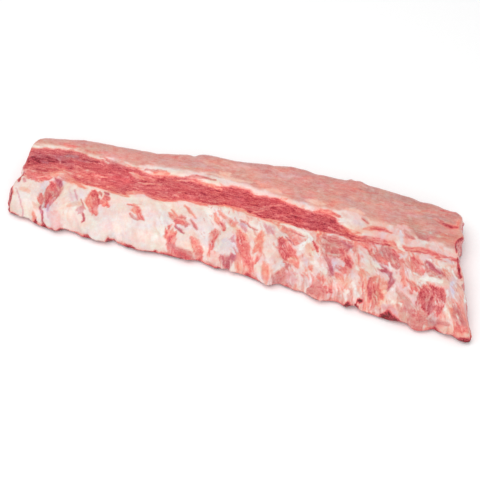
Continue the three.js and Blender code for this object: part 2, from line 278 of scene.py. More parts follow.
RIB_EIGHT = [
    (SALMON, 4.6, (34, 22), (55, 10), (61, 6)),
    (ROSE, 1.8, (38, 22), (46, 20), (62, 16)),
    (MAUVE, 1, (44, 10), (50, 7), (57, 4)),
    (CORAL, 8, (45, 3), (49, -3), (54, -8), (57, -13), (55, -17)),
    (SALMON, 5, (48, -11), (54, -13), (61, -13), (65, -18)),
    (CRIMSON, 5, (41, 6), (45, -4), (49, -9), (51, -13)),
    (ROSE, 5, (58, -20), (56, -25), (53, -29), (47, -33)),
    (LILAC, [2.5, 3, 2.5], (51, -21), (48, -24), (45, -27)),
    (WHITE, 2.5, (35, 25), (45, 25), (64, 21), (70, 17)),
    (WHITE, [2.5, 3, 2.5, 1.6], (69, 15), (63, 6), (63, 1)),
    (PEACH, 5, (69, 8), (74, -4), (77, -9)),
    (ORCHID, 5, (58, -27), (63, -30), (68, -32)),
    (SALMON, 3, (76, -13), (78, -17), (79, -20)),
]
RIB_NINE = [
    (SALMON, [2, 3, 2.5, 1.4], (73, 27), (77, 16), (80, 12)),
    (ROSE, 8, (81, 22), (88, 19), (97, 18), (110, 20)),
    (ROSE, 8, (85, 11), (90, 9), (97, 10), (103, 13), (107, 17)),
    (MAUVE, [1, 1.8, 1.6], (99, 22), (104, 20), (109, 17)),
    (ROSE, [2, 3, 3, 2.5], (84, 6), (92, -4), (96, -9)),
    (CRIMSON, [1.8, 4, 4.5, 3, 1], (101, 12), (113, -3), (117, -7)),
    (CRIMSON, 1.9, (72, 13), (78, 6), (80, 2)),
    (MAUVE, [1.2, 3.4, 2.6], (96, -9), (98, -13), (101, -18)),
    (CORAL, [2.6, 4.2, 3.4], (104, -8), (108, -9), (113, -12)),
    (SALMON, 4, (105, -17), (111, -21), (114, -24)),
    (CORAL, [1.6, 2, 1.4], (104, -16), (107, -16), (110, -16)),
    (SALMON, [1.6, 2.5, 3, 2.5], (116, -9), (119, -21), (117, -27)),
    (SALMON, [2.5, 3.5, 3, 2], (113, 24), (118, 8), (121, 0)),
    (CORAL, 5, (90, -23), (92, -29), (92, -37)),
    (BLUSH, 2.4, (106, 0), (108, -3), (109, -6)),
    (FAT, 3, (94, -15), (94, -19), (93, -21)),
    (CRIMSON, 1.5, (101, 24), (108, 24.6)),
    (CORAL, 1.4, (25, 56), (31, 56.4)),
    (CORAL, 1.4, (34, 52), (41, 52.5)),
]
RIB_TEN = [
    (SALMON, 5, (132, -15), (133, -21), (135, -28)),
    (ORCHID, 3, (158, -36), (164, -36), (170, -37)),
    (SALMON, 5, (160, 19), (164, 15), (168, 11)),
    (CORAL, 6.5, (119, 26), (126, 23), (147, 10)),
    (ROSE, [1, 4, 6.5, 7, 4], (138, 29), (144, 24), (160, 9)),
    (CRIMSON, [1.8, 2.5, 1.6], (149, 28), (153, 25), (157, 21)),
    (MAUVE, [3, 4, 3, 1.8], (143, 4), (147, 2), (154, 0)),
    (MAUVE, [2, 3, 2], (154, -1), (158, -8), (156, -18)),
    (SALMON, [5, 8.5, 10, 10], (145, -11), (147, -17), (147, -30)),
    (CORAL, [4, 6, 6.5, 6], (143, -14), (145, -26), (147, -32)),
    (CRIMSON, [1, 2, 2.4, 2], (138, -13), (140, -25), (143, -31)),
    (FAT, 3.4, (136, 7), (140, 5), (144, 3)),
    (BLUSH, 3, (120, 22), (124, 19), (127, 16)),
    (SALMON, 4, (128, -6), (130, -10), (132, -13)),
    (SALMON, 2.2, (165, 9), (165, 5), (166, 1)),
    (CORAL, 2.4, (129, 21), (133, 21), (137, 22)),
    (CORAL, 2.4, (133, -20), (135, -26)),
    (CORAL, 3.6, (151, -22), (153, -27), (155, -31)),
    (SALMON, 2.4, (155, 27), (161, 26)),
    (WHITE, 2, (151, 12), (153, 6)),
]
RIB_ELEVEN = [
    (FILM, 6, (172, -32), (180, -35), (188, -38)),
    (ROSE, 4, (188, -18), (189, -24), (190, -28)),
    (SALMON, 4, (204, 19), (208, 17), (212, 14)),
    (SALMON, 7.5, (168, 28), (172, 22), (177, 17), (179, 12), (182, 9)),
    (CORAL, 5, (171, 24), (182, 16), (186, 12)),
    (ROSE, [2.5, 5, 5, 3.5, 1.2], (186, 24), (191, 19), (203, 13), (208, 12)),
    (MAUVE, 3, (187, 24), (192, 20), (203, 14)),
    (SALMON, [1.4, 2, 1.8], (167, 1), (169, -6), (172, -12)),
    (CORAL, 4, (173, -4), (182, -9), (185, -13)),
    (CRIMSON, 11.5, (194, -9), (198, -12), (199, -18), (198, -29)),
    (CRIMSON, [3, 5, 5, 4], (207, -6), (209, -13), (209, -29)),
    (FILM, [2, 4, 5.5, 6, 5], (166, -18), (188, -35), (196, -38)),
    (ROSE, [2, 3, 2.5], (186, -35), (192, -38), (200, -37)),
    (CORAL, 2.4, (178, -9), (179, -14), (180, -18)),
    (BLUSH, 2.2, (185, -20), (185, -25), (186, -30)),
    (ROSE, 4, (190, 13), (196, 10), (202, 8)),
    (WHITE, 3, (184, 3), (192, 5), (200, 4), (207, 4)),
    (CRIMSON, 1.4, (184, -6), (188, -10)),
    (SALMON, 2.2, (193, -4), (197, -7)),
    (FAT, 2.2, (213, -5), (214, -12)),
    (FAT, 2.2, (177, 7), (182, 5)),
    (PEACH, 2.8, (216, -24), (219, -30)),
    (ROSE, 2.4, (177, -33), (185, -35)),
]
RIGHT_END = [
    (LILAC, 2.5, (216, 7), (218, -2), (221, -10)),
    (SALMON, [5, 8.5, 9, 7], (224, -16), (228, -22), (234, -33)),
    (ROSE, [3, 6, 5], (225, -21), (229, -27), (235, -34)),
    (ROSE, 2, (205, -36), (213, -36), (221, -35)),
    (MAROON, [1, 2, 1.2], (212, 65), (213, 54), (215, 44)),
    (SALMON, [2, 3, 2.6], (205, 78), (206, 88), (202, 99)),
    (MAROON, [2.4, 2, 1.4], (219, 36), (220.5, 26), (223, 16)),
    (MAUVE, 1.8, (228, 14), (229, 8)),
    (FAT, 2, (224, 27), (226, 21)),
    (WHITE, 2, (233, -2), (234, -9)),
]
BAND = [
    (MAROON, [6, 5, 3.4, 1.5], (-237, 25), (-228, 30), (-216, 32), (-206, 34)),
    (CORAL, 4, (-125, 39), (-116, 39), (-106, 40)),
    (CORAL, 3.5, (-150, 17), (-142, 17), (-134, 16)),
    (SALMON, 3, (-31, 29), (-18, 30), (-6, 29), (6, 27)),
    (SALMON, 3, (-126, 16), (-119, 18), (-111, 19)),
    (SALMON, 3, (-134, 41), (-127, 40), (-119, 39)),
    (MAUVE, 3, (-206, 43), (-186, 43), (-176, 43)),
    (CRIMSON, [1.6, 3, 2], (-190, 44), (-180, 44), (-170, 44)),
    (MAROON, 1.4, (-188, 43.5), (-180, 43), (-172, 43)),
    (CORAL, [1.6, 2.4, 1.6], (-192, 31), (-181, 30), (-170, 30)),
    (CORAL, [3, 4, 4.5, 4], (-205, 23), (-178, 23), (-164, 24)),
    (SALMON, [4, 5, 5, 4], (-208, 14), (-199, 15), (-182, 9)),
    (SALMON, [1.4, 1.8, 1.6], (-144, 9), (-134, 8), (-124, 10)),
    (SALMON, [0.9, 1, 0.7], (-121, 31), (-111, 33), (-98, 35.5)),
    (BLUSH, [3, 3.5, 2.5], (-117, 15), (-110, 16), (-103, 15)),
    (CORAL, 2.4, (-105, 17), (-85, 18), (-75, 20)),
    (SALMON, 1.1, (-88, 46), (-70, 50), (-60, 50)),
    (FAT, 3.2, (-80, 28), (-76, 27)),
    (SALMON, 1.6, (-60, 50), (-48, 50), (-37, 50)),
    (CORAL, [1.4, 2, 1.8], (-74, 24), (-60, 24), (-44, 24)),
    (PEACH, [0.9, 1.1, 1.1, 0.7], (11, 41), (25, 48), (32, 49.5)),
    (PEACH, 1.6, (2, 30), (6, 33), (12, 37)),
    (BLUSH, 1.1, (25, 35), (31, 36.5), (37, 35)),
    (SALMON, 1.6, (14, 26), (24, 27), (48, 27)),
    (CRIMSON, [2, 2.5, 2], (82, 35), (90, 34), (98, 33)),
    (WHITE, 3, (-211, 35), (-209, 32)),
    (MAUVE, 2, (-229, 27), (-221, 27)),
    (SALMON, 3, (-200, 22), (-192, 21)),
    (SALMON, 1.4, (-160, 26.6), (-154, 27.2)),
    (SALMON, 1.4, (-124, 23.4), (-118, 23.8)),
    (PEACH, 2.2, (-60, 24), (-54, 24.5)),
    (WHITE, 2.2, (-12, 15), (-8, 13)),
]
SEAM_AND_SIDE = [
    (CORAL, 3.4, (180, 80), (190, 77), (205, 76)),
    (ROSE, 3, (-170, 49), (-161, 48), (-152, 49)),
    (BLUSH, 3, (180, 31), (186, 32), (191, 32)),
    (BLUSH, 3, (201, 32), (207, 32), (212, 30)),
    (BLUSH, 3, (147, 58), (153, 58), (158, 57)),
    (PEACH, 3, (10, 63), (16, 63), (22, 63)),
    (CORAL, 2.5, (63, 50), (69, 53), (78, 54), (87, 52)),
    (ROSE, 1.6, (-120, 48), (-112, 50), (-99, 53)),
    (ROSE, 2, (-77, 53), (-67, 56), (-47, 58)),
    (ROSE, [1.6, 2, 0.9], (110, 57), (113, 56), (118, 53)),
    (CORAL, [1.4, 3, 3.2, 1.2], (116, 44), (124, 48), (133, 50), (143, 47)),
    (CRIMSON, 1.1, (122, 47), (135, 50), (141, 47.5)),
    (LILAC, 2.1, (151, 53), (154, 47), (156, 37)),
    (ROSE, 3, (155, 54), (161, 50), (167, 48)),
    (CORAL, 2.5, (162, 33), (170, 36), (190, 37), (196, 35)),
    (FAT, [1.8, 2.6, 1.8], (152, 38), (156, 34), (160, 30)),
    (CORAL, [1.4, 2.5, 2.5, 2], (110, 30), (133, 34), (143, 35)),
    (SALMON, [1.6, 1.4, 1], (145, 35), (152, 31), (160, 28)),
    (ROSE, 4.5, (166, 57), (173, 54), (181, 51)),
    (CRIMSON, [0.8, 2.2, 2.6, 1], (189, 76), (199, 74), (206, 76)),
    (MAROON, 1.2, (190, 76), (199, 74), (205, 76)),
    (CORAL, [1, 2, 1.6], (182, 93), (191, 95), (200, 96)),
    (PEACH, [1.5, 2.4, 1.6], (92, 63), (100, 64), (109, 63)),
    (PEACH, 1.8, (-60, 65), (-26, 65), (-10, 66)),
    (CORAL, 2.5, (-226, 69), (-219, 70), (-211, 70)),
    (CORAL, [1.2, 2], (-213, 54), (-204, 54)),
    (DUSK, [3, 5, 4], (182, 61), (194, 62), (206, 61)),
    (SALMON, 3, (-110, 48), (-103, 50), (-95, 51)),
    (PEACH, 3.5, (50, 62), (59, 62), (68, 62)),
    (FAT, 1.4, (-171, 48.6), (-165, 48.8)),
    (PEACH, 4, (-46, 69), (-36, 69)),
]
PAINTED = [
    LEFT_END, RIB_ONE, RIB_TWO, RIB_THREE, RIB_FOUR, RIB_FIVE, RIB_SIX, RIB_SEVEN, RIB_EIGHT,
    RIB_NINE, RIB_TEN, RIB_ELEVEN, RIGHT_END, BAND, SEAM_AND_SIDE, FOOT,
]
STROKE_SEEDS = 17  # what each list of strokes moves the seeds on by
GLINT_COVER = 0.42  # cover of the pale strokes on the dark band
GLINT_PAINTS = (WHITE, FAT, BLUSH, PEACH, ROSE)

# How a stroke looks: bent out of shape, with a ragged edge and feathered ends
WARP_REACH, WARP_NOISES = 1.5, ((7, 7, 401), (7, 7, 411))
SPECK_NOISE = (2.4, 2.0, 421, 2)
STROKE_MARGIN = 3  # room for bent and ragged edges around a stroke's box
STROKE_RAGGED, RAGGED_BY_FIBRES, RAGGED_BY_SPECKS = 0.9, 0.6, 0.8
FEATHERED_END, FEATHER_LENGTH = 2.2, 2
LEAST_SOFT, MOST_SOFT, SOFT_START, SOFT_GROWTH = 0.45, 1.4, 0.3, 0.35
THIN_STROKE = 2  # half-width below which a stroke has fainter fibres and feathers
LEANEST_FAT, LEAN_STEP = 0.4, 0.1  # redness above which a paint is muscle, with fibres in it
FIBRE_LENGTH, FIBRE_WIDTH, FIBRE_SEED, FIBRE_OCTAVES = 9, 1.2, 11, 2
FIBRE_CONTRAST, SPECK_CONTRAST = 0.13, 0.5
STRING_LENGTH, STRING_WIDTH, STRING_SEED = 7, 1.5, 12  # pale sinews drawn along with a stroke
STRING_PALENESS, STRING_FADE = 0.2, (0.2, 0.6)

# Fat: the direction of its fibres left and right, and blotches as paint, cover left and right, the
# noise's fade, and the noise
TURN_FADE = (-180, 60)  # X over which the fibres turn from the left direction to the right one
FAT_ANGLES, FAT_GRAIN = (-84, -52), (14, 1.8, 21)
PINK_FADE, PINK_COVERS = (-30, 90), (0.1, 0.5)
FAT_BLOTCHES = [
    (BLUSH, (0.2, 0.7), (0, 0.6), (16, 12, 31)),
    (WHITE, (0.5, 0.7), (-0.05, -0.6), (16, 12, 31)),
    (SALMON, (0, 0.5), (0.1, 0.6), (7, 9, 36)),
]
END_PINK, END_PINK_FADE = 0.4, (200, 225)
TINTED_BLOTCHES = [
    (PEACH, (0.45, 0.45), (0.2, 0.8), (30, 22, 41)),
    (LILAC, (0.4, 0.4), (0.3, 0.8), (20, 12, 51)),
]

# The dark band and the pink side: their grain as angle, length, width and seed, and their edges
LENGTHWISE_TILT, TILT_FADE = np.radians(5), (0, 60)
BAND_GRAIN, SIDE_GRAIN = (np.radians(4), 16, 1.3, 71), (np.radians(3), 26, 2.2, 81)
EDGE_RAGGED, EDGE_NOISE, SIDE_RAGGED = 1.6, (7, 3, 61), 1.6
BAND_LOW_BLUR, BAND_HIGH_BLUR, SIDE_BLUR = 1.8, 1.6, 2.6
BAND_DARKENING, DARKENING_FADE = 0.1, (-120, 100)
# Painted shade on the pink side, darker and duller towards the far edge: cover, fade of the distance past
# the seam, sway and its noise
FAR_SHADE_COVER, FAR_SHADE_FADE, FAR_SHADE_SWAY, FAR_SHADE_NOISE = 0.75, (12, 50), 8, (40, 12, 91)

# Fringe of the thin side's foot, dark torn meat and painted shade where the lip is undercut: its height,
# and its layers as paint, cover and the heights over the fringe's own top between which the layer ends
FRINGE_HEIGHT, FRINGE_SWAY, FRINGE_WAVE = 3.7, 1.5, (15, 1, 503)
FRINGE_END, FRINGE_RAGGED, FRINGE_NOISE = 4, 1.5, (4, 4, 501)
# The darkest layers are painted shade under the undercut lip, with torn meat in them
FRINGE_LAYERS = [
    (CORAL, 0.4, (0, 4.5)), (CRIMSON, 0.8, (-0.4, 1.2)), (MAROON, 1, (-1.6, 0)), (TORN_MEAT_AND_SHADE, 1, (-4, -1.6)),
]
TORN_BITS = [  # where the fringe is higher: X, rise, spread
    (-231, 3, 6), (-208, 4, 1.5), (-197, 3, 2), (-187, 4, 2.5), (-180, 4, 2), (-150, 3.6, 8),
    (-128.5, 6, 2), (-105, 3.6, 5), (-88, 2, 10), (-78, 3, 2), (-60, 2, 12), (-33, 2, 3),
    (-11, 3, 2), (19, 3, 3), (122.5, 8, 3), (163, 12, 6), (172, 6, 5), (211, 3, 3), (238, 5, 7),
]

# Wall of the thick side: the heights where it begins and ends, film over it, and blotches
WALL_FADE_IN, WALL_FADE_OUT = (1, 6), (20, 27)
WALL_FILM, WALL_GRAIN = 0.8, (0, 26, 1.6, 601)
WALL_BLOTCHES = [
    (ROSE, (0, 0.75), (0, 0.5), (34, 5, 611)),
    (BLUSH, (0, 0.8), (0.1, 0.5), (26, 4, 621)),
    (FAT, (0, 0.8), (0.3, 0.6), (26, 4, 621)),
    (CRIMSON, (0, 0.7), (0.25, 0.6), (18, 3, 631)),
]

# Underside: lean meat between the ribs, seams of fat beside them, and blotches on bones and strip, with
# white painted highlights along the ribs' crests
RIB_SWAY, RIB_SWAY_NOISE, BLOTCH_NOISE = 3.5, (20, 16, 243), (9, 15, 245)
UNDER_ANGLE, UNDER_GRAIN, BONE_ANGLE = np.radians(50), (16, 2, 241), np.radians(85)
LEAN_BLOTCHES, LEAN_COVER, LEAN_FADE = 0.6, 0.75, (-0.1, 0.7)
DARK_COVER, DARK_FADE = 0.6, (0.5, 1.1)
BONE_COVER, BONE_FADE, BONE_HIGHLIGHT_FADE = 0.6, (0.1, 0.75), (0.55, 1)
SEAM_SPREAD = 0.3
SEAM_BLOTCHES = [(FAT, (0, 0.7), (-0.1, 0.4), BLOTCH_NOISE)]
BONE_BLOTCHES = [(BLUSH, (0, 0.8), (-0.4, 0.2), BLOTCH_NOISE)]
# White blotches on the crests of the ribs: painted highlights
BONE_HIGHLIGHT_BLOTCHES = [(WHITE, (0, 0.7), (-0.2, 0.4), (6, 24, 249))]
STRIP_FILM, STRIP_BLOTCHES = 0.7, [(FAT, (0, 0.7), (0, 0.4), (22, 5, 251))]

# Cut ends: layers of lean meat as paint, cover, and fades of the depth and of the layers' noise
END_BLUSH, END_BLUSH_FADE = 0.75, (0, 1.6)
END_LEAN_FADE, END_LEAN_SWAY = (0.3, 3.2), 0.8
LAYER_LENGTH, LAYER_WIDTH = 26, 2.4
END_LAYERS = [(MAROON, 0.7, (2, 7), (-0.2, 0.6)), (SALMON, 0.7, (2, 5), (-0.35, -0.7))]
SEAM_LENGTH, SEAM_WIDTH, SEAM_SLANT, SEAM_SEED = 17, 8, 0.3, 5
SEAM_COVER, SEAM_DEPTH_FADE, SEAM_EDGE_FADE = 0.8, (2, 5), (0.02, 0.13)

# Faint short marks at random. An area is its lower and its upper limit, each an edge and a distance.
STRAIGHT = [0, 0]
BELOW_BAND = ((STRAIGHT, -40), (BAND_LOW, -1))
WITHIN_BAND = ((BAND_LOW, 0.8), (BAND_HIGH, -0.8))
OVER_SIDE = ((SIDE_LOW, 2), (STRAIGHT, 112))
ALONG_FOOT = ((STRAIGHT, -40), (STRAIGHT, -26))
NARROWEST_AREA = 0.5
LEFT_PART, RIGHT_PART, WHOLE_LENGTH = (-238, -40), (-40, 238), (-238, 236)
MARK_TURN, MARK_BEND = 14, 0.3  # most that a mark turns at random, in degrees, and bends
MARK_TAPER = (0.5, 1, 0.4)  # shares of its width at its start, middle and end
FAT_MARKS = [WHITE, FAT, FAT, BLUSH, PEACH, LILAC]
STRING_MARKS = [WHITE, WHITE, FAT, BLUSH, PEACH, SALMON, ROSE, CORAL]
FOOT_MARKS = [SALMON, ROSE, ROSE, CORAL, FILM, FAT, WHITE]
BAND_MARKS = [CORAL, ROSE, MAROON, MAROON, CORAL, CRIMSON, CRIMSON]
SIDE_MARKS = [SALMON, DUSK, FILM, BLUSH, ROSE, CORAL, ORCHID]
FINE_MARKS = [WHITE, WHITE, FAT, BLUSH, ROSE, CORAL]
GLINT_MARKS = [FAT, BLUSH, PEACH, SALMON]
MARKS_BELOW = [  # seed, count, paints, reach in X, area, angles left and right, lengths, widths, cover
    (100, 160, FAT_MARKS, LEFT_PART, BELOW_BAND, (-70, -40), (6, 22), (0.8, 2.6), (0.15, 0.4)),
    (400, 420, STRING_MARKS, RIGHT_PART, BELOW_BAND, (-84, -50), (4, 13), (0.5, 1.3), (0.35, 0.8)),
    (700, 170, FOOT_MARKS, (30, 238), ALONG_FOOT, (-84, -60), (4, 12), (0.6, 1.8), (0.3, 0.75)),
    (900, 420, BAND_MARKS, WHOLE_LENGTH, WITHIN_BAND, (6, 3), (7, 26), (0.4, 1.3), (0.25, 0.6)),
    (1700, 320, SIDE_MARKS, WHOLE_LENGTH, OVER_SIDE, (4, 4), (8, 40), (0.6, 3), (0.2, 0.5)),
]
MARKS_ABOVE = [
    (2300, 620, FINE_MARKS, RIGHT_PART, BELOW_BAND, (-84, -52), (2.5, 7), (0.35, 0.7), (0.3, 0.75)),
    (3100, 60, FINE_MARKS, LEFT_PART, BELOW_BAND, (-70, -40), (3, 8), (0.35, 0.6), (0.1, 0.3)),
    (3700, 90, GLINT_MARKS, WHOLE_LENGTH, WITHIN_BAND, (6, 3), (3, 9), (0.35, 0.7), (0.2, 0.5)),
]

# Washes over the paint: what each kind adds to the channels, and for each one its reach and path
DULLER, FRESHER = (0, 0.8, 0, 0), (0, -0.7, 0, 0)
MORE_VIOLET, WARMER = (-0.06, 0, 0.4, 0), (-0.02, 0, 0, 0.5)
WASHES = [
    (DULLER, [
        (7, (-236, 33), (-222, 35), (-207, 38)), (5, (-203, 44), (-192, 46), (-180, 45)),
        (5, (-206, -10), (-205, -26)), (5, (197, -19), (202, -33)), (7, (177, 79), (190, 79)),
        (5, (132, 19), (138, 19)), (8, (112, 97), (162, 91)), (6, (158, 69), (176, 50)),
        (4, (147, -28), (149, -34)), (4, (-150, 49), (-144, 49)),
    ]),
    (FRESHER, [
        (6, (2, 68), (30, 66)), (6, (-163, 55), (-152, 55)), (6, (-146, 31), (-134, 31)),
        (5, (-168, 28), (-156, 28)), (5, (205, 74), (210, 74)), (5, (-148, -15), (-139, -9)),
    ]),
    (MORE_VIOLET, [
        (6, (-234, 34), (-214, 38)), (5, (201, -28), (206, -34)), (5, (218, 11), (219, -3)),
        (4, (6, -20), (6, -26)), (4, (136, 15), (137, 10)), (4, (43, 14), (47, 12)),
        (4, (118, -11), (120, -16)), (5, (98, -3), (103, -8)), (4, (-198, 10), (-195, 4)),
        (4, (-1, -14), (1, -21)), (4, (-171, 0), (-169, -5)), (4, (143, 10), (149, 9)),
        (4, (54, 11), (59, 10)), (4, (-200, -24), (-197, -31)), (4, (71, -9), (74, -14)),
        (5, (-177, -9), (-173, -15)), (4, (106, 50), (112, 50)),
    ]),
    (WARMER, [
        (6, (95, 38), (106, 38), (122, 40)), (6, (194, 60), (206, 60)), (6, (196, 76), (209, 76)),
        (4, (64, -27), (68, -31)), (5, (163, 36), (173, 36)), (5, (153, -23), (155, -29)),
        (4, (134, -2), (138, -5)), (5, (42, -14), (46, -19)), (5, (91, -20), (89, -32)),
        (6, (-84, 62), (-68, 70)), (5, (114, 62), (124, 62)), (4, (163, -4), (165, -9)),
        (4, (-140, -8), (-138, -13)), (5, (-221, -30), (-214, -32)), (5, (-18, -13), (-14, -19)),
        (6, (2, 65), (14, 65)),
    ]),
]

# Tints that sway everywhere, and the rims of the band: edge and the X where its rim begins
TINT_NOISE, DULL_NOISE = (15, 10, 441, 4), (13, 8, 451, 4)
WARM_SWAY, VIOLET_SWAY, DULL_SWAY, FRESHNESS = 0.7, 0.4, 0.55, 0.02
WARM_PALENESS, VIOLET_PALENESS = 0.03, 0.14
LEAST_TINTS, MOST_TINTS = (-1, 0, 0), (1.5, 1, 1)
REDNESS_SWAY, REDNESS_NOISE, SPECK_SWAY = 0.07, (5, 4, 431), 0.04
RIMS = [(BAND_LOW, -200), (BAND_HIGH, -120)]
RIM_TINT, RIM_REACH, RIM_RUN_IN, RIM_FADE_OUT = (0, -0.45, 0, 0.3), 5, 15, (75, 100)

# Material: shades for every step of redness, tints, and light that the moist surface adds to them
SHADE_STEP = 0.1
MEAT_SHADES = [  # from white fat to torn meat and painted shade
    (240, 239, 234), (235, 223, 217), (233, 205, 199), (234, 186, 178), (234, 167, 158),
    (232, 147, 140), (227, 128, 124), (218, 107, 107), (205, 88, 92), (187, 68, 78), (162, 48, 62),
    (112, 26, 38),
]
REDDEST = SHADE_STEP * (len(MEAT_SHADES) - 1)
DULL_TINT, VIOLET_TINT, WARM_TINT = (233, 255, 252), (226, 214, 255), (255, 246, 226)
SURFACE_SHINE, DARKEST = 0.025, 0.002
FIBRE_DIRECTIONS = (0, -45, -85)  # lengthwise, slanting and steep, in degrees
FIBRE_SPACING, LEAST_WEIGHT = 45, 0.0001
# Noises of the material, over millimetres: scale, detail, roughness and distortion
FIBRE_STRETCH, FIBRE_NOISE = (0.11, 0.95, 0.95), (1.0, 4.0, 0.6, 0.3)
MOTTLE_NOISE, SPECKLE_NOISE = (0.16, 4.0, 0.6), (0.8, 3.0, 0.55)
FIBRE_SWING, MOTTLE_SWING, SPECKLE_SWING = 0.6, 0.16, 0.44
VARIETY = (1.6, 0.3, 0.2)  # how the noises grow with redness: by its square, by itself and at none
ROUGHNESS, SPECKLE_ROUGHNESS, LEAN_SMOOTHNESS = 0.30, 0.22, 0.08
SPECKLE_BUMP, BUMP_STRENGTH, BUMP_DEPTH = 0.5, 0.55, 0.6
MIX_SHARE, MIX_FIRST, MIX_SECOND, MIX_RESULT = 0, 6, 7, 2  # a Mix node's sockets for colours
MOIST_MEAT = {
    "IOR": 1.4,
    "Coat Weight": 0.12,
    "Coat Roughness": 0.15,
    "Subsurface Weight": 0.08,
    "Subsurface Radius": (0.004, 0.0015, 0.001),
    "Subsurface Scale": 1.0,
}

# Studio, in metres: pale floor, white world, and square lights as name, place, size and power
FLOOR_REACH, FLOOR_DROP, FLOOR_ROUGHNESS = 6, 0.0003, 0.9
WORLD_STRENGTH = 0.645
SOFTBOXES = [("key", (-0.3, -0.3, 1.4), 1.2, 10.2), ("fill", (0.7, -1.3, 0.7), 1.2, 6.0)]

# Camera: the photograph's angle, in degrees, and distance in millimetres
CAMERA_AZIMUTH, CAMERA_ELEVATION, CAMERA_LENS, CAMERA_DISTANCE = 19, 50, 100, 1333
CAMERA_TARGET, CAMERA_CLIP = (0, 0, 15), (0.05, 20)

NOISE_SIZE = 256  # cells after which a noise repeats
MM = 0.001


def lerp(low, high, share):
    return low + (high - low) * share


def smoothstep(low, high, value):
    share = np.clip((value - low) / (high - low), 0, 1)
    return share * share * (3 - 2 * share)


def through(values, fraction):
    """A smooth value through evenly spaced ones, at fraction 0 to 1 of the way along them"""
    values = np.asarray(values, float)
    place = np.clip(fraction, 0, 1) * (len(values) - 1)
    k = np.minimum(place.astype(int), len(values) - 2)
    f = place - k
    before = values[np.maximum(k - 1, 0)]
    after = values[np.minimum(k + 2, len(values) - 1)]
    start_slope = (values[k + 1] - before) / 2
    end_slope = (after - values[k]) / 2
    rise = values[k + 1] - values[k]
    bend = 3 * rise - 2 * start_slope - end_slope
    twist = start_slope + end_slope - 2 * rise
    return values[k] + f * (start_slope + f * (bend + f * twist))


def corner_cut(distance, radius):
    """How far a rounded corner lies in from the straight edge, at a distance from the end"""
    inside = np.maximum(radius - distance, 0)
    return radius - np.sqrt(radius**2 - inside**2)


def wander(u, v, seed):
    """Smooth noise from -1 to 1 over a plane, one cell for each unit"""
    table = np.random.default_rng(seed).uniform(-1, 1, (NOISE_SIZE, NOISE_SIZE))
    column = np.floor(u).astype(int)
    row = np.floor(v).astype(int)
    across = smoothstep(0, 1, u - column)
    along = smoothstep(0, 1, v - row)
    near, far = column % NOISE_SIZE, (column + 1) % NOISE_SIZE
    low, high = row % NOISE_SIZE, (row + 1) % NOISE_SIZE
    bottom = lerp(table[near, low], table[far, low], across)
    top = lerp(table[near, high], table[far, high], across)
    return lerp(bottom, top, along)


def rough(u, v, seed, octaves=3):
    """Noise with finer noise on it"""
    total = sum(wander(u * 2**k, v * 2**k, seed + k) / 2**k for k in range(octaves))
    return total / (2 - 0.5 ** (octaves - 1))


def mottled(u, v, length, width, seed, octaves=3):
    """Rough noise of a given length and width"""
    return rough(u / length, v / width, seed, octaves)


def streaks(x, y, angle, length, width, seed):
    """Noise drawn out along a direction"""
    along = x * np.cos(angle) + y * np.sin(angle)
    beside = y * np.cos(angle) - x * np.sin(angle)
    return wander(along / length, beside / width, seed)


def across_edge(distance, blur):
    """0 to 1 across an edge that is blurred by so much to both sides"""
    return smoothstep(-blur, blur, distance)


def edge_at(values, x):
    """Y of one of the edges that are listed every EDGE_STEP"""
    return through(values, (x - EDGE_START) / (EDGE_STEP * (len(values) - 1)))


def edge_bumps(bumps, x):
    return sum(reach * np.exp(-(((x - middle) / spread) ** 2)) for middle, reach, spread in bumps)


def crest_height(depth):
    rise = 1 - np.exp(-depth / CREST_RISE_DEPTH)
    return lerp(THIN_SIDE_HEIGHT, THICK_SIDE_HEIGHT, rise)


def rib_wave(x, y):
    """1 over the middle of a rib and -1 between two"""
    along = np.clip((x - LEFT_END_X) / RACK_LENGTH, 0, 1)
    straight = x + RIB_SLANT * along * (y - RIB_PIVOT_Y)
    return np.cos(2 * np.pi * ((straight - LEFT_END_X) / RIB_PITCH - RIB_PHASE))


def inside_band(x, y, slope):
    """How far a place lies inside the dark band, 0 to 1"""
    above = across_edge(y - edge_at(BAND_LOW, x), slope / 2)
    below = across_edge(edge_at(BAND_HIGH, x) - y, slope / 2)
    return above * below


def top_relief(x, y):
    """Humps over the ribs, the sunken band, and muscles that bulge or sink"""
    along = np.clip((x - LEFT_END_X) / THICK_EDGE_LENGTH, 0, 1)
    relief = RIB_HUMP * rib_wave(x, y) * (1 - smoothstep(*RIB_FADE, y))
    relief -= lerp(BAND_SINK_LEFT, BAND_SINK_RIGHT, along) * inside_band(x, y, BAND_SLOPE)
    for middle_x, middle_y, radius_x, radius_y, rise in SWELLS:
        away = ((x - middle_x) / radius_x) ** 2 + ((y - middle_y) / radius_y) ** 2
        relief += rise * np.exp(-away)
    return relief


def reach_of(path, widths, x, y):
    """Places against a stroke: distance and half-width, along and beside it, past its ends, direction"""
    best = np.full(x.shape, np.inf)
    found = np.zeros((6,) + x.shape)
    walked = 0.0
    for k in range(len(path) - 1):
        start, step = np.array(path[k]), np.subtract(path[k + 1], path[k])
        length = np.hypot(*step)
        from_x, from_y = x - start[0], y - start[1]
        ahead = (from_x * step[0] + from_y * step[1]) / length
        beside = (step[0] * from_y - step[1] * from_x) / length
        share = np.clip(ahead / length, 0, 1)
        past = np.abs(ahead - share * length)
        half = lerp(widths[k], widths[k + 1], share)
        gap = np.hypot(past, beside)
        heading = np.full(x.shape, np.arctan2(step[1], step[0]))
        nearer = gap / half < best
        best = np.where(nearer, gap / half, best)
        found = np.where(nearer, np.stack([gap, half, walked + ahead, beside, past, heading]), found)
        walked += length
    return found


def half_widths(widths, count):
    """A stroke's half-width at each of its points"""
    evenly = np.linspace(0, 1, count)
    if isinstance(widths, list):
        return np.interp(evenly, np.linspace(0, 1, len(widths)), widths)
    return widths * (0.5 + 0.5 * np.sin(np.pi * evenly))


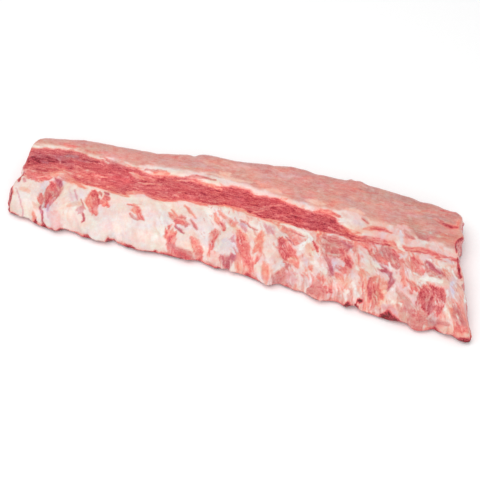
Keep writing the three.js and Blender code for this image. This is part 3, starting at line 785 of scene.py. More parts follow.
class Canvas:
    """Colour channels, fibre direction and grain over a set of places in the layout

    X and Y are the places in plan; u and v are the same places with the sides rolled out flat,
    so that noise isn't stretched where the surface is steep.
    """

    def __init__(self, x, y, v=None):
        self.x, self.y = x, y
        self.u, self.v = x, y if v is None else v
        bend_x, bend_y = (WARP_REACH * mottled(self.u, self.v, *noise) for noise in WARP_NOISES)
        self.bent_x, self.bent_y = x + bend_x, y + bend_y
        self.specks = mottled(self.u, self.v, *SPECK_NOISE)
        self.paint = np.zeros(x.shape + (4,))
        self.flow = np.zeros(x.shape + (2,))
        self.grain = np.zeros(x.shape)

    def lay(self, paint, cover, angle=None, grain=None, where=...):
        """Paints over what is there, as far as it is covered"""
        self.paint[where] += (np.array(paint) - self.paint[where]) * cover[..., None]
        if angle is not None:
            heading = np.stack(np.broadcast_arrays(np.cos(2 * angle), np.sin(2 * angle)), -1)
            self.flow[where] += (heading - self.flow[where]) * cover[..., None]
        if grain is not None:
            self.grain[where] += (grain - self.grain[where]) * cover

    def around(self, path, spare):
        """Which places lie in the box around a path"""
        columns, rows = zip(*path)
        inside = (self.x > min(columns) - spare) & (self.x < max(columns) + spare)
        return inside & (self.y > min(rows) - spare) & (self.y < max(rows) + spare)

    def stroke(self, paint, widths, path, seed, opacity=1.0):
        """A ragged stroke with fibres, and in muscle with pale sinews too"""
        halves = half_widths(widths, len(path))
        near = self.around(path, 2 * max(halves) + STROKE_MARGIN)
        if not near.any():
            return
        found = reach_of(path, halves, self.bent_x[near], self.bent_y[near])
        gap, half, along, beside, past, angle = found
        body = np.minimum(1, half / THIN_STROKE)
        fibre_u, fibre_v = along / FIBRE_LENGTH + seed, beside / FIBRE_WIDTH + seed
        fibres = rough(fibre_u, fibre_v, FIBRE_SEED, FIBRE_OCTAVES)
        specks = self.specks[near]
        ragged = RAGGED_BY_FIBRES * fibres + RAGGED_BY_SPECKS * specks
        unevenness = STROKE_RAGGED * ragged * np.minimum(1, half)
        unevenness += FEATHERED_END * fibres * smoothstep(0, FEATHER_LENGTH, past) * body
        soft = np.clip(SOFT_START + SOFT_GROWTH * half, LEAST_SOFT, MOST_SOFT)
        cover = opacity * (1 - across_edge(gap - half + unevenness, soft))
        self.lay(paint, cover, angle, fibres, near)
        lean = smoothstep(LEANEST_FAT - LEAN_STEP, LEANEST_FAT + LEAN_STEP, paint[REDNESS])
        strings = wander(along / STRING_LENGTH - seed, beside / STRING_WIDTH + seed, STRING_SEED)
        drawn = FIBRE_CONTRAST * (fibres + SPECK_CONTRAST * specks)
        drawn = drawn - STRING_PALENESS * smoothstep(*STRING_FADE, strings)
        self.paint[near, REDNESS] += cover * lean * body * drawn

    def wash(self, tint, reach, path):
        """Tints softly what is painted, without covering it"""
        gap, *_ = reach_of(path, np.full(len(path), reach), self.bent_x, self.bent_y)
        self.paint += np.exp(-((gap / reach) ** 2))[..., None] * np.array(tint)


def lay_blotches(canvas, blotches, v, share):
    """Patches of noise over X and v; the two covers of each are for a share of 0 and of 1"""
    for paint, covers, fade, noise in blotches:
        patch = smoothstep(*fade, mottled(canvas.x, v, *noise))
        canvas.lay(paint, lerp(*covers, share) * patch)


def paint_fat(canvas):
    """Fat all over, pinker to the right"""
    x, y = canvas.x, canvas.y
    steep = lerp(*np.radians(FAT_ANGLES), smoothstep(*TURN_FADE, x))
    canvas.lay(FAT, np.ones(x.shape), steep, streaks(x, y, steep, *FAT_GRAIN))
    pinker = smoothstep(*PINK_FADE, x)
    canvas.lay(BLUSH, lerp(*PINK_COVERS, pinker))
    lay_blotches(canvas, FAT_BLOTCHES, y, pinker)
    canvas.lay(SALMON, END_PINK * smoothstep(*END_PINK_FADE, x))
    lay_blotches(canvas, TINTED_BLOTCHES, y, pinker)


def paint_band_and_side(canvas):
    """The dark band and the pink side above it, with fibres that run along the rack, and painted shade
    that darkens the side towards the far edge
    """
    x, y = canvas.x, canvas.y
    lengthwise = LENGTHWISE_TILT * (1 - smoothstep(*TILT_FADE, x))
    ragged = EDGE_RAGGED * mottled(x, y, *EDGE_NOISE)
    above = across_edge(y - edge_at(BAND_LOW, x) + ragged, BAND_LOW_BLUR)
    below = across_edge(edge_at(BAND_HIGH, x) - y + ragged, BAND_HIGH_BLUR)
    canvas.lay(CRIMSON, above * below, lengthwise, streaks(x, y, *BAND_GRAIN))
    canvas.paint[..., REDNESS] += BAND_DARKENING * smoothstep(*DARKENING_FADE, x) * above * below
    past_seam = y - edge_at(SIDE_LOW, x)
    on_side = across_edge(past_seam + SIDE_RAGGED * ragged, SIDE_BLUR)
    canvas.lay(FILM, on_side, lengthwise, streaks(x, y, *SIDE_GRAIN))
    # painted shade: the side darker and duller towards the far edge
    far = smoothstep(*FAR_SHADE_FADE, past_seam + FAR_SHADE_SWAY * mottled(x, y, *FAR_SHADE_NOISE))
    canvas.lay(DUSK, FAR_SHADE_COVER * far * on_side)


def limits_at(area, x):
    """Lowest and highest Y of an area at one X"""
    low, high = (float(edge_at(edge, np.array(x))) + beyond for edge, beyond in area)
    return low, max(low + NARROWEST_AREA, high)


def scatter_marks(canvas, seed, count, paints, reach, area, angles, lengths, widths, opacity):
    """Many faint short strokes, drawn at random inside an area"""
    draw = np.random.default_rng(seed)
    for k in range(count):
        x = draw.uniform(*reach)
        y = draw.uniform(*limits_at(area, x))
        turned = lerp(*angles, float(smoothstep(*TURN_FADE, x)))
        angle = np.radians(turned + draw.uniform(-MARK_TURN, MARK_TURN))
        length = draw.uniform(*lengths)
        width = draw.uniform(*widths)
        step = np.array([np.cos(angle), np.sin(angle)]) * length / 2
        bend = np.array([-step[1], step[0]]) * draw.uniform(-MARK_BEND, MARK_BEND)
        middle = np.array([x, y])
        path = [tuple(middle - step), tuple(middle + bend), tuple(middle + step)]
        paint = paints[int(draw.integers(len(paints)))]
        halves = [width * share for share in MARK_TAPER]
        canvas.stroke(paint, halves, path, seed + k, draw.uniform(*opacity))


def sway_tints(canvas):
    """Cream, lilac and greyer places everywhere, finer than any stroke"""
    tint = mottled(canvas.u, canvas.v, *TINT_NOISE)
    warm = WARM_SWAY * np.maximum(tint, 0)
    violet = VIOLET_SWAY * np.maximum(-tint, 0)
    canvas.paint[..., REDNESS] -= WARM_PALENESS * warm + VIOLET_PALENESS * violet
    canvas.paint[..., DULLNESS] += DULL_SWAY * mottled(canvas.u, canvas.v, *DULL_NOISE) - FRESHNESS
    canvas.paint[..., VIOLET] += violet
    canvas.paint[..., WARMTH] += warm


def freshen_rims(canvas):
    """Where the band thins out over the fat, it is brighter and more orange"""
    for edge, start in RIMS:
        rim = np.exp(-(((canvas.y - edge_at(edge, canvas.x)) / RIM_REACH) ** 2))
        rim *= smoothstep(start - RIM_RUN_IN, start, canvas.x) * (1 - smoothstep(*RIM_FADE_OUT, canvas.x))
        canvas.paint += rim[..., None] * np.array(RIM_TINT)


def paint_top(canvas):
    """Everything that shows from above, from the ground colours to the tints over them"""
    paint_fat(canvas)
    paint_band_and_side(canvas)
    for marks in MARKS_BELOW:
        scatter_marks(canvas, *marks)
    for group, strokes in enumerate(PAINTED):
        for number, (paint, widths, *path) in enumerate(strokes):
            glint = strokes is BAND and paint in GLINT_PAINTS
            seed = STROKE_SEEDS * group + number
            canvas.stroke(paint, widths, path, seed, GLINT_COVER if glint else 1.0)
    for marks in MARKS_ABOVE:
        scatter_marks(canvas, *marks)
    for tint, washes in WASHES:
        for reach, *path in washes:
            canvas.wash(tint, reach, path)
    freshen_rims(canvas)
    sway_tints(canvas)
    tints = canvas.paint[..., DULLNESS:]
    canvas.paint[..., DULLNESS:] = np.clip(tints, LEAST_TINTS, MOST_TINTS)
    sway = REDNESS_SWAY * mottled(canvas.u, canvas.v, *REDNESS_NOISE)
    canvas.paint[..., REDNESS] += sway + SPECK_SWAY * canvas.specks


def paint_fringe(canvas, depth, height, reach):
    """Dark torn meat and painted shade along the foot of the thin side, with a pink stain over it"""
    on_lip = 1 - smoothstep(reach, reach + FRINGE_END, depth)
    top = FRINGE_HEIGHT + FRINGE_SWAY * mottled(canvas.x, 0.0, *FRINGE_WAVE)
    torn = height - top - edge_bumps(TORN_BITS, canvas.x)
    torn += FRINGE_RAGGED * mottled(canvas.x, height, *FRINGE_NOISE)
    for paint, cover, fade in FRINGE_LAYERS:
        # dark torn meat and painted shade under the lip
        canvas.lay(paint, cover * on_lip * (1 - smoothstep(*fade, torn)))


def paint_back(canvas, depth, height, width):
    """Layers of meat and fat along the wall of the thick side"""
    on_wall = smoothstep(*WALL_FADE_IN, height) * (1 - smoothstep(*WALL_FADE_OUT, height))
    on_wall = on_wall * (depth > width / 2)
    grain = streaks(canvas.x, height, *WALL_GRAIN)
    canvas.lay(FILM, WALL_FILM * on_wall, np.zeros(height.shape), grain)
    lay_blotches(canvas, WALL_BLOTCHES, height, on_wall)


def section_ends(fraction):
    """Thin and thick end of each section in plan, and the direction from one to the other"""
    thin_x = LEFT_END_X + RACK_LENGTH * fraction
    thick_x = LEFT_END_X - THICK_EDGE_LEAD + THICK_EDGE_LENGTH * fraction
    thin_y = through(THIN_EDGE_Y, fraction) - edge_bumps(THIN_EDGE_LOBES, thin_x)
    thick_y = through(THICK_EDGE_Y, fraction) + edge_bumps(THICK_EDGE_STEPS, thick_x)
    thin = np.stack([thin_x, thin_y], -1)
    thick = np.stack([thick_x, thick_y], -1)
    across = thick - thin
    across /= np.linalg.norm(across, axis=-1, keepdims=True)
    thin_cut = corner_cut(RACK_LENGTH * fraction, THIN_LEFT_CORNER)
    thin_cut += corner_cut(RACK_LENGTH * (1 - fraction), THIN_RIGHT_CORNER)
    thick_cut = corner_cut(THICK_EDGE_LENGTH * fraction, THICK_LEFT_CORNER)
    thick_cut += corner_cut(THICK_EDGE_LENGTH * (1 - fraction), THICK_RIGHT_CORNER)
    return thin + across * thin_cut[:, None], thick - across * thick_cut[:, None], across


def quarter_turn(rows):
    return np.linspace(0, np.pi / 2, rows + 1)


class Rack:
    """The rack's sections, from the left end to the right one"""

    def __init__(self):
        even = np.linspace(0, 1, STATIONS + 1)
        self.fraction = even - CROWDING * np.sin(2 * np.pi * even) / (2 * np.pi)
        self.thin, thick, self.across = section_ends(self.fraction)
        self.width = np.linalg.norm(thick - self.thin, axis=-1)[:, None]
        self.left_distance = (RACK_LENGTH * self.fraction)[:, None]
        self.right_distance = RACK_LENGTH - self.left_distance
        self.end_distance = np.minimum(self.left_distance, self.right_distance)

    def flat(self, depth):
        """X and Y at a depth in from the thin edge"""
        return self.thin[:, None, :] + self.across[:, None, :] * depth[..., None]

    def end_shift(self, depth, height):
        """Shift along X: the foot of each end stands out, and the right end curves in"""
        share = depth / self.width
        foot = END_SPLAY * (1 - height / THICK_SIDE_HEIGHT)
        near_right = np.exp(-self.right_distance / END_SPLAY_DECAY)
        near_left = np.exp(-self.left_distance / END_SPLAY_DECAY)
        fade = np.exp(-self.right_distance / HOLLOW_DECAY)
        hollow = RIGHT_END_HOLLOW * 4 * share * (1 - share) * fade
        down = height / END_TATTER_SIZE + LEFT_TATTER_SHIFT * near_left
        ragged = END_TATTER * rough(depth / END_TATTER_SIZE, down, END_TATTER_SEED)
        at_edge = np.exp(-self.end_distance / END_TATTER_DECAY)
        y = self.thin[:, 1:] + self.across[:, 1:] * depth
        steps = edge_bumps(RIGHT_END_STEPS, y) * np.exp(-self.right_distance / END_STEP_DECAY)
        steps -= edge_bumps(LEFT_END_STEPS, y) * np.exp(-self.left_distance / END_STEP_DECAY)
        return foot * (near_right - near_left) - hollow + ragged * at_edge + steps

    def place(self, depth, height):
        flat = self.flat(depth)
        return np.stack([flat[..., 0] + self.end_shift(depth, height), flat[..., 1], height], -1)

    def top_outline(self):
        """Depth and height of each row of the top, and which way its relief stands out"""
        lip = quarter_turn(LIP_ROWS)
        lip_depth = LIP_DEPTH * (1 - np.cos(lip))
        lip_height = lerp(LIP_WIDEST_AT, crest_height(lip_depth), np.sin(lip))
        share = np.arange(1, MIDDLE_ROWS) / MIDDLE_ROWS
        middle_depth = lerp(LIP_DEPTH, self.width - SHOULDER_DEPTH, share)
        shoulder = quarter_turn(SHOULDER_ROWS)
        shoulder_depth = self.width - SHOULDER_DEPTH * (1 - np.sin(shoulder))
        shoulder_height = lerp(SHOULDER_WIDEST_AT, crest_height(shoulder_depth), np.cos(shoulder))
        every = np.ones_like(self.width)
        depth = np.hstack([every * lip_depth, middle_depth, shoulder_depth])
        height = np.hstack([every * lip_height, crest_height(middle_depth), shoulder_height])
        level = np.zeros(MIDDLE_ROWS - 1)
        out = np.concatenate([-np.cos(lip), level, np.sin(shoulder)])
        up = np.concatenate([np.sin(lip), level + 1, np.cos(shoulder)])
        return depth, height, out, up

    def bottom_outline(self):
        """Depth and height of each row of the underside, from the thin side to the thick one"""
        turn = quarter_turn(UNDERCUT_ROWS)
        thin_turn, thick_turn = turn[1:], turn[:-1]
        share = np.arange(1, UNDER_ROWS) / UNDER_ROWS
        every = np.ones_like(self.width)
        flat_depth = lerp(LIP_UNDERCUT, self.width - SHOULDER_UNDERCUT, share)
        thick_depth = self.width - SHOULDER_UNDERCUT * (1 - np.sin(thick_turn))
        depth = np.hstack([every * LIP_UNDERCUT * (1 - np.cos(thin_turn)), flat_depth, thick_depth])
        thin_height = LIP_WIDEST_AT * (1 - np.sin(thin_turn))
        thick_height = SHOULDER_WIDEST_AT * (1 - np.cos(thick_turn))
        height = np.hstack([every * thin_height, np.zeros_like(flat_depth), every * thick_height])
        return depth, height

    def arch(self, x, y, depth):
        """Height of the underside over the table"""
        from_thin = depth - LIP_UNDERCUT - ARCH_THIN_STRIP
        from_thick = self.width - depth - SHOULDER_UNDERCUT - ARCH_THICK_STRIP
        rise = smoothstep(0, ARCH_RAMP, np.minimum(from_thin, from_thick))
        at_ends = lerp(ARCH_LEFT_AT_ENDS, 1, smoothstep(0, ARCH_END_RAMP, self.end_distance))
        ridge = BONE_RIDGE * (1 + rib_wave(x, y)) * 0.5
        return rise * at_ends * (ARCH_HEIGHT - ridge)


def fine_relief(canvas, depth):
    """What the coarse form leaves out: lumps, fibres, and muscle lying below the fat"""
    x, y = canvas.x, canvas.y
    redness = canvas.paint[..., REDNESS]
    relief = LUMPS * mottled(x, y, *LUMP_NOISE) + SMALL_LUMPS * mottled(x, y, *SMALL_LUMP_NOISE)
    on_fat = 1 - smoothstep(*SINK_FADE, y - edge_at(BAND_LOW, x))
    relief -= PATCH_SINK * smoothstep(*PATCH_FADE, redness) * on_fat
    strength = lerp(FAT_GRAIN_SHARE, 1, smoothstep(*GRAIN_FADE, redness))
    relief += GRAIN_RELIEF * canvas.grain * strength
    foot = np.exp(-((depth / TATTER_REACH) ** 2))
    relief += TATTER * foot * mottled(canvas.u, canvas.v, *TATTER_NOISE)
    return relief


def make_top(rack):
    """Places, painted canvas, and the paint before the fringe and the wall are laid on"""
    depth, height, out, up = rack.top_outline()
    flat = rack.flat(depth)
    steps = np.hypot(np.diff(depth, axis=1), np.diff(height, axis=1))
    unrolled = np.hstack([np.zeros_like(rack.width), np.cumsum(steps, axis=1)])
    canvas = Canvas(flat[..., 0], flat[..., 1], unrolled - THIN_SIDE_HEIGHT + MEAN_THIN_EDGE_Y)
    paint_top(canvas)
    bare = canvas.paint.copy()
    paint_fringe(canvas, depth, height, LIP_DEPTH)
    paint_back(canvas, depth, height, rack.width)
    relief = top_relief(canvas.x, canvas.y) + fine_relief(canvas, depth)
    relief = relief - corner_cut(rack.end_distance, END_TOP_ROUNDING) * up
    return rack.place(depth + out * relief, height + up * relief), canvas, bare


def paint_underside(canvas, edge_strip):
    """The bone side: pale ribs under a membrane, with lean meat and seams of fat between them, and white
    painted highlights on the ribs' crests
    """
    x, y = canvas.x, canvas.y
    rib = rib_wave(x + RIB_SWAY * mottled(x, y, *RIB_SWAY_NOISE), y)
    blotch = mottled(x, y, *BLOTCH_NOISE)
    canvas.lay(DUSK, np.ones(x.shape), UNDER_ANGLE, streaks(x, y, UNDER_ANGLE, *UNDER_GRAIN))
    canvas.lay(CRIMSON, LEAN_COVER * smoothstep(*LEAN_FADE, LEAN_BLOTCHES * blotch - rib))
    canvas.lay(MAROON, DARK_COVER * smoothstep(*DARK_FADE, blotch - rib))
    lay_blotches(canvas, SEAM_BLOTCHES, y, np.exp(-((rib / SEAM_SPREAD) ** 2)))
    on_bone = smoothstep(*BONE_FADE, rib)
    canvas.lay(ORCHID, BONE_COVER * on_bone, BONE_ANGLE)
    lay_blotches(canvas, BONE_BLOTCHES, y, on_bone)
    # painted highlights: white blotches on the crests of the ribs
    lay_blotches(canvas, BONE_HIGHLIGHT_BLOTCHES, y, smoothstep(*BONE_HIGHLIGHT_FADE, rib))
    canvas.lay(FILM, STRIP_FILM * edge_strip)
    lay_blotches(canvas, STRIP_BLOTCHES, y, edge_strip)


def make_bottom(rack, top_paint):
    """The underside; its colours run over into those of the top at both long edges"""
    depth, height = rack.bottom_outline()
    flat = rack.flat(depth)
    canvas = Canvas(flat[..., 0], flat[..., 1])
    lift = np.where(height > 0, height, rack.arch(canvas.x, canvas.y, depth))
    lumps = UNDER_LUMPS * (1 + mottled(canvas.x, canvas.y, *UNDER_LUMP_NOISE))
    lift = lift + lumps * smoothstep(*UNDER_LUMP_FADE, lift)
    paint_underside(canvas, smoothstep(*STRIP_FADE, depth - rack.width))
    on_thick = depth > rack.width / 2
    lip_share = smoothstep(*LIP_COLOUR_FADE, height) * ~on_thick
    shoulder_share = smoothstep(*SHOULDER_COLOUR_FADE, height) * on_thick
    canvas.paint += (top_paint[:, :1] - canvas.paint) * lip_share[..., None]
    canvas.paint += (top_paint[:, -1:] - canvas.paint) * shoulder_share[..., None]
    paint_fringe(canvas, depth, height, UNDER_FRINGE)
    paint_back(canvas, depth, height, rack.width)
    return rack.place(depth, lift), canvas


class Surface:
    """Vertices, faces and painted values gathered into one closed mesh"""

    def __init__(self):
        self.places, self.paint, self.flow, self.faces = [], [], [], []
        self.count = 0

    def add(self, places, canvas):
        """Takes a grid of places and returns the same grid of vertex numbers"""
        size = places[..., 0].size
        self.places.append(places.reshape(-1, 3))
        self.paint.append(canvas.paint.reshape(-1, 4))
        self.flow.append(canvas.flow.reshape(-1, 2))
        numbers = self.count + np.arange(size).reshape(places.shape[:-1])
        self.count += size
        return numbers

    def skin(self, numbers):
        """Faces between neighbouring rows of a grid"""
        a, b = numbers[:-1, :-1], numbers[1:, :-1]
        c, d = numbers[1:, 1:], numbers[:-1, 1:]
        self.faces += np.stack([a, b, c, d], -1).reshape(-1, 4).tolist()

    def zip_rows(self, upper, lower, flipped):
        """Faces between two rows that share both ends and may differ in number"""
        i, j = 0, 0
        while i < len(upper) - 1 or j < len(lower) - 1:
            next_upper = (i + 1) / (len(upper) - 1)
            next_lower = (j + 1) / (len(lower) - 1)
            if j >= len(lower) - 1 or (i < len(upper) - 1 and next_upper <= next_lower):
                face = [upper[i], lower[j], upper[i + 1]]
                i += 1
            else:
                face = [upper[i], lower[j], lower[j + 1]]
                j += 1
            if len(set(face)) == 3:
                self.faces.append([int(n) for n in (face[::-1] if flipped else face)])


def paint_end(canvas, top_paint, drop, seed):
    """A cut end: the fat and meat of the top reach a little way down, with lean meat below"""
    canvas.paint[...] = top_paint
    layers = wander(canvas.y / LAYER_LENGTH + seed, drop / LAYER_WIDTH, seed)
    seam_along = (canvas.y + drop) / SEAM_LENGTH + seed
    seam_across = (drop - SEAM_SLANT * canvas.y) / SEAM_WIDTH
    seams = np.abs(rough(seam_along, seam_across, seed + SEAM_SEED))
    canvas.lay(BLUSH, END_BLUSH * smoothstep(*END_BLUSH_FADE, drop), np.zeros(drop.shape), layers)
    canvas.lay(CRIMSON, smoothstep(*END_LEAN_FADE, drop + END_LEAN_SWAY * layers))
    for paint, cover, depths, fade in END_LAYERS:
        canvas.lay(paint, cover * smoothstep(*depths, drop) * smoothstep(*fade, layers))
    in_seam = 1 - smoothstep(*SEAM_EDGE_FADE, seams)
    canvas.lay(BLUSH, SEAM_COVER * smoothstep(*SEAM_DEPTH_FADE, drop) * in_seam)


def add_cap(surface, top, top_numbers, under_numbers, under, top_paint, outward, seed):
    """Closes an end with rows that run from the top edge down to the underside's edge"""
    chain = np.concatenate([[top[0]], under, [top[-1]]])
    walk = np.linspace(0, 1, len(chain))
    share = np.linspace(0, 1, len(top))
    foot = np.stack([np.interp(share, walk, chain[:, axis]) for axis in range(3)], -1)
    rows = []
    for k in range(1, CAP_ROWS):
        down = k / CAP_ROWS
        row = lerp(top, foot, down)[1:-1]
        arc = np.sin(np.pi * down)
        row[:, 0] += outward * END_BULGE * arc
        row[:, 0] += outward * END_LUMPS * arc * mottled(row[:, 1], row[:, 2], *END_LUMP_SIZE, seed)
        rows.append(row)
    places = np.stack(rows)
    canvas = Canvas(places[..., 0], places[..., 1])
    paint_end(canvas, top_paint[None, 1:-1], top[None, 1:-1, 2] - places[..., 2], seed)
    numbers = surface.add(places, canvas)
    first, last = top_numbers[0], top_numbers[-1]
    ring = [[first, *row, last] for row in numbers.tolist()]
    grid = [list(top_numbers), *ring]
    flipped = outward < 0
    for upper, lower in zip(grid[:-1], grid[1:]):
        surface.zip_rows(upper, lower, flipped)
    surface.zip_rows(grid[-1], [first, *under_numbers, last], flipped)


def build_surface():
    rack = Rack()
    top, top_canvas, bare_paint = make_top(rack)
    bottom, bottom_canvas = make_bottom(rack, bare_paint)
    surface = Surface()
    top_numbers = surface.add(top, top_canvas)
    bottom_numbers = surface.add(bottom, bottom_canvas)
    around = np.hstack([top_numbers, bottom_numbers[:, ::-1], top_numbers[:, :1]])
    surface.skin(around)
    for station, outward, seed in ((0, -1, LEFT_CAP_SEED), (STATIONS, 1, RIGHT_CAP_SEED)):
        paint = top_canvas.paint[station]
        numbers, under = top_numbers[station].tolist(), bottom_numbers[station].tolist()
        add_cap(surface, top[station], numbers, under, bottom[station], paint, outward, seed)
    return surface


def to_frame(places):
    """From the layout to the frame: the middle of the form goes over the middle of the node's box"""
    low, high = (np.array(corner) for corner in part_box("rib_rack"))
    middle = (places.min(0) + places.max(0)) / 2
    middle[2] = 0
    target = (low + high) / 2
    target[2] = low[2]
    return (places - middle) * MM + target, target - middle * MM


def fibre_weights(flow):
    """How far the fibres run in each of the three directions"""
    angle = np.degrees(np.arctan2(flow[:, 1], flow[:, 0])) / 2
    apart = np.abs((angle[:, None] - FIBRE_DIRECTIONS + 90) % 180 - 90)
    weights = np.clip(1 - apart / FIBRE_SPACING, LEAST_WEIGHT, 1)
    return weights / weights.sum(1, keepdims=True)


def add_values(mesh, name, values):
    attribute = mesh.attributes.new(name, "FLOAT_VECTOR", "POINT")
    attribute.data.foreach_set("vector", np.ascontiguousarray(values, np.float32).ravel())


def make_rack_object(surface):
    places, offset = to_frame(np.concatenate(surface.places))
    mesh = bpy.data.meshes.new("pork_back_ribs")
    mesh.from_pydata(places.tolist(), [], surface.faces)
    mesh.validate()
    mesh.shade_smooth()
    paint = np.concatenate(surface.paint)
    add_values(mesh, "meat", paint[:, :3])
    add_values(mesh, "tone", np.stack([paint[:, 3]] * 3, -1))
    add_values(mesh, "fibres", fibre_weights(np.concatenate(surface.flow)))
    piece = bpy.data.objects.new("pork_back_ribs", mesh)
    bpy.context.collection.objects.link(piece)
    return piece, offset


class Nodes:
    """Short way to add and join a material's nodes"""

    def __init__(self, material):
        material.use_nodes = True
        self.tree = material.node_tree
        self.tree.nodes.clear()

    def add(self, kind, inputs=None, **settings):
        node = self.tree.nodes.new("ShaderNode" + kind)
        for name, value in settings.items():
            setattr(node, name, value)
        for name, value in (inputs or {}).items():
            self.set(node.inputs[name], value)
        return node

    def set(self, socket, value):
        if isinstance(value, bpy.types.NodeSocket):
            self.tree.links.new(value, socket)
        else:
            socket.default_value = value

    def math(self, operation, first, second=0.0, clamp=False):
        node = self.add("Math", operation=operation, use_clamp=clamp)
        self.set(node.inputs[0], first)
        self.set(node.inputs[1], second)
        return node.outputs[0]

    def noise(self, vector, scale, detail=2.0, roughness=0.5, distortion=0.0):
        inputs = {"Vector": vector, "Scale": scale, "Detail": detail, "Roughness": roughness}
        node = self.add("TexNoise", {**inputs, "Distortion": distortion})
        return node.outputs["Fac"]

    def tint(self, shade, tint, amount):
        """A shade times a tint; less than none of it takes the shade the other way"""
        node = self.add("Mix", data_type="RGBA", blend_type="MULTIPLY", clamp_factor=False)
        for socket, value in ((MIX_SHARE, amount), (MIX_FIRST, shade), (MIX_SECOND, tint)):
            self.set(node.inputs[socket], value)
        return node.outputs[MIX_RESULT]

    def ramp(self, value, stops):
        node = self.add("ValToRGB", {"Fac": value})
        elements = node.color_ramp.elements
        while len(elements) < len(stops):
            elements.new(0.5)
        for element, (place, colour) in zip(elements, stops):
            element.position = place
            element.color = colour
        return node.outputs["Color"]

    def swing(self, value, reach):
        """A noise value moved to swing around zero"""
        return self.math("MULTIPLY", self.math("SUBTRACT", value, 0.5), reach)

    def finish(self, inputs):
        """The shader, joined to the material's output"""
        shader = self.add("BsdfPrincipled", inputs)
        self.tree.links.new(shader.outputs[0], self.add("OutputMaterial").inputs["Surface"])

    def parts(self, name):
        attribute = self.add("Attribute", attribute_name=name)
        split = self.add("SeparateXYZ", {"Vector": attribute.outputs["Vector"]})
        return split.outputs[0], split.outputs[1], split.outputs[2]


def colour(red, green, blue):
    """A colour given as on a screen, 0 to 255, in linear light"""
    screen = np.array([red, green, blue]) / 255
    linear = np.where(screen <= 0.04045, screen / 12.92, ((screen + 0.055) / 1.055) ** 2.4)
    return (*linear.tolist(), 1.0)


def meat_colour(red, green, blue):
    """The colour that looks as given once the moist surface's own shine is on it"""
    *parts, alpha = colour(red, green, blue)
    return (*[max(part - SURFACE_SHINE, DARKEST) for part in parts], alpha)


def drawn_fibres(nodes, in_mm):
    """Noise drawn out in three directions, each as far as the fibres run that way"""
    fibre = 0.0
    for weight, direction in zip(nodes.parts("fibres"), FIBRE_DIRECTIONS):
        turned = nodes.add("VectorRotate", {"Vector": in_mm, "Angle": np.radians(-direction)})
        drawn = nodes.add("Mapping", {"Vector": turned.outputs[0], "Scale": FIBRE_STRETCH})
        streak = nodes.noise(drawn.outputs[0], *FIBRE_NOISE)
        fibre = nodes.math("ADD", fibre, nodes.math("MULTIPLY", streak, weight))
    return fibre


def varied_redness(nodes, redness, swings):
    """Redness swayed by noises, the more the redder it is, as a share of the reddest"""
    shift = 0.0
    for noise, reach in swings:
        shift = nodes.math("ADD", shift, nodes.swing(noise, reach))
    by_square, by_itself, at_none = VARIETY
    strength = nodes.math("ADD", nodes.math("MULTIPLY", redness, by_square), by_itself)
    strength = nodes.math("ADD", nodes.math("MULTIPLY", strength, redness), at_none)
    varied = nodes.math("ADD", redness, nodes.math("MULTIPLY", shift, strength))
    return nodes.math("DIVIDE", varied, REDDEST, clamp=True)


def meat_material():
    material = bpy.data.materials.new("raw_meat")
    nodes = Nodes(material)
    place = nodes.add("TexCoord").outputs["Object"]
    in_mm = nodes.add("Mapping", {"Vector": place, "Scale": (1 / MM, 1 / MM, 1 / MM)}).outputs[0]
    redness, dullness, violet = nodes.parts("meat")
    warmth, *_ = nodes.parts("tone")

    fibre = drawn_fibres(nodes, in_mm)
    mottle = nodes.noise(in_mm, *MOTTLE_NOISE)
    speckle = nodes.noise(in_mm, *SPECKLE_NOISE)
    swings = [(fibre, FIBRE_SWING), (mottle, MOTTLE_SWING), (speckle, SPECKLE_SWING)]
    stops = [(k * SHADE_STEP / REDDEST, meat_colour(*shade)) for k, shade in enumerate(MEAT_SHADES)]
    shade = nodes.ramp(varied_redness(nodes, redness, swings), stops)
    for amount, tint in ((dullness, DULL_TINT), (violet, VIOLET_TINT), (warmth, WARM_TINT)):
        shade = nodes.tint(shade, colour(*tint), amount)

    gloss = nodes.math("ADD", nodes.math("MULTIPLY", speckle, SPECKLE_ROUGHNESS), ROUGHNESS)
    gloss = nodes.math("SUBTRACT", gloss, nodes.math("MULTIPLY", redness, LEAN_SMOOTHNESS))
    ups = nodes.math("ADD", fibre, nodes.math("MULTIPLY", speckle, SPECKLE_BUMP))
    bump = nodes.add("Bump", {"Height": ups, "Strength": BUMP_STRENGTH, "Distance": BUMP_DEPTH * MM})
    look = {"Base Color": shade, "Roughness": gloss, "Normal": bump.outputs[0]}
    nodes.finish({**look, **MOIST_MEAT})
    return material


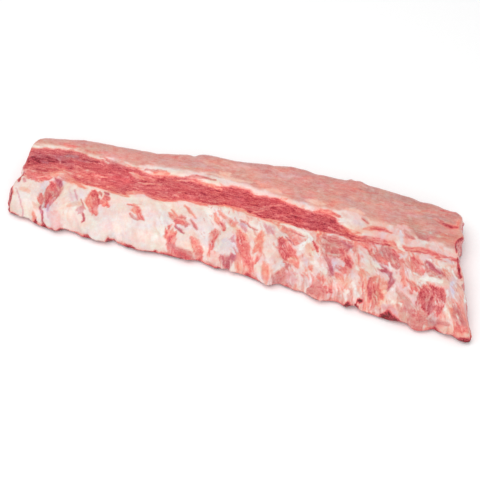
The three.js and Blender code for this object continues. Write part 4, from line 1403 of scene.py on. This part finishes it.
def make_floor():
    low, high = -FLOOR_REACH, FLOOR_REACH
    corners = [(low, low, 0), (high, low, 0), (high, high, 0), (low, high, 0)]
    mesh = bpy.data.meshes.new("floor")
    mesh.from_pydata(corners, [], [(0, 1, 2, 3)])
    material = bpy.data.materials.new("pale_floor")
    Nodes(material).finish({"Base Color": (1, 1, 1, 1), "Roughness": FLOOR_ROUGHNESS})
    mesh.materials.append(material)
    floor = bpy.data.objects.new("floor", mesh)
    floor.location.z = -FLOOR_DROP
    bpy.context.collection.objects.link(floor)


def add_softbox(name, place, size, power):
    """A square light that faces the middle of the scene"""
    light = bpy.data.lights.new(name, "AREA")
    light.shape = "SQUARE"
    light.size = size
    light.energy = power
    box = bpy.data.objects.new(name, light)
    box.location = place
    box.rotation_euler = (-Vector(place)).to_track_quat("-Z", "Y").to_euler()
    bpy.context.collection.objects.link(box)


def light_scene():
    world = bpy.data.worlds.new("studio")
    bpy.context.scene.world = world
    world.use_nodes = True
    sky = world.node_tree.nodes["Background"].inputs
    sky["Color"].default_value = (1, 1, 1, 1)
    sky["Strength"].default_value = WORLD_STRENGTH
    for softbox in SOFTBOXES:
        add_softbox(*softbox)
    bpy.context.scene.view_settings.view_transform = "Standard"


def place_camera(offset):
    """Looks at the target from the photograph's angle"""
    camera = bpy.data.cameras.new("camera")
    camera.lens = CAMERA_LENS
    camera.clip_start, camera.clip_end = CAMERA_CLIP
    seat = bpy.data.objects.new("camera", camera)
    azimuth, elevation = np.radians(CAMERA_AZIMUTH), np.radians(CAMERA_ELEVATION)
    level = np.cos(elevation)
    back = Vector((np.sin(azimuth) * level, -np.cos(azimuth) * level, np.sin(elevation)))
    target = Vector(np.array(CAMERA_TARGET) * MM + offset)
    seat.location = target + back * CAMERA_DISTANCE * MM
    seat.rotation_euler = (-back).to_track_quat("-Z", "Y").to_euler()
    bpy.context.collection.objects.link(seat)
    bpy.context.scene.camera = seat


rack_piece, layout_offset = make_rack_object(build_surface())
rack_piece.data.materials.append(meat_material())
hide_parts("rib_rack")
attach(rack_piece, "root")
make_floor()
light_scene()
place_camera(layout_offset)
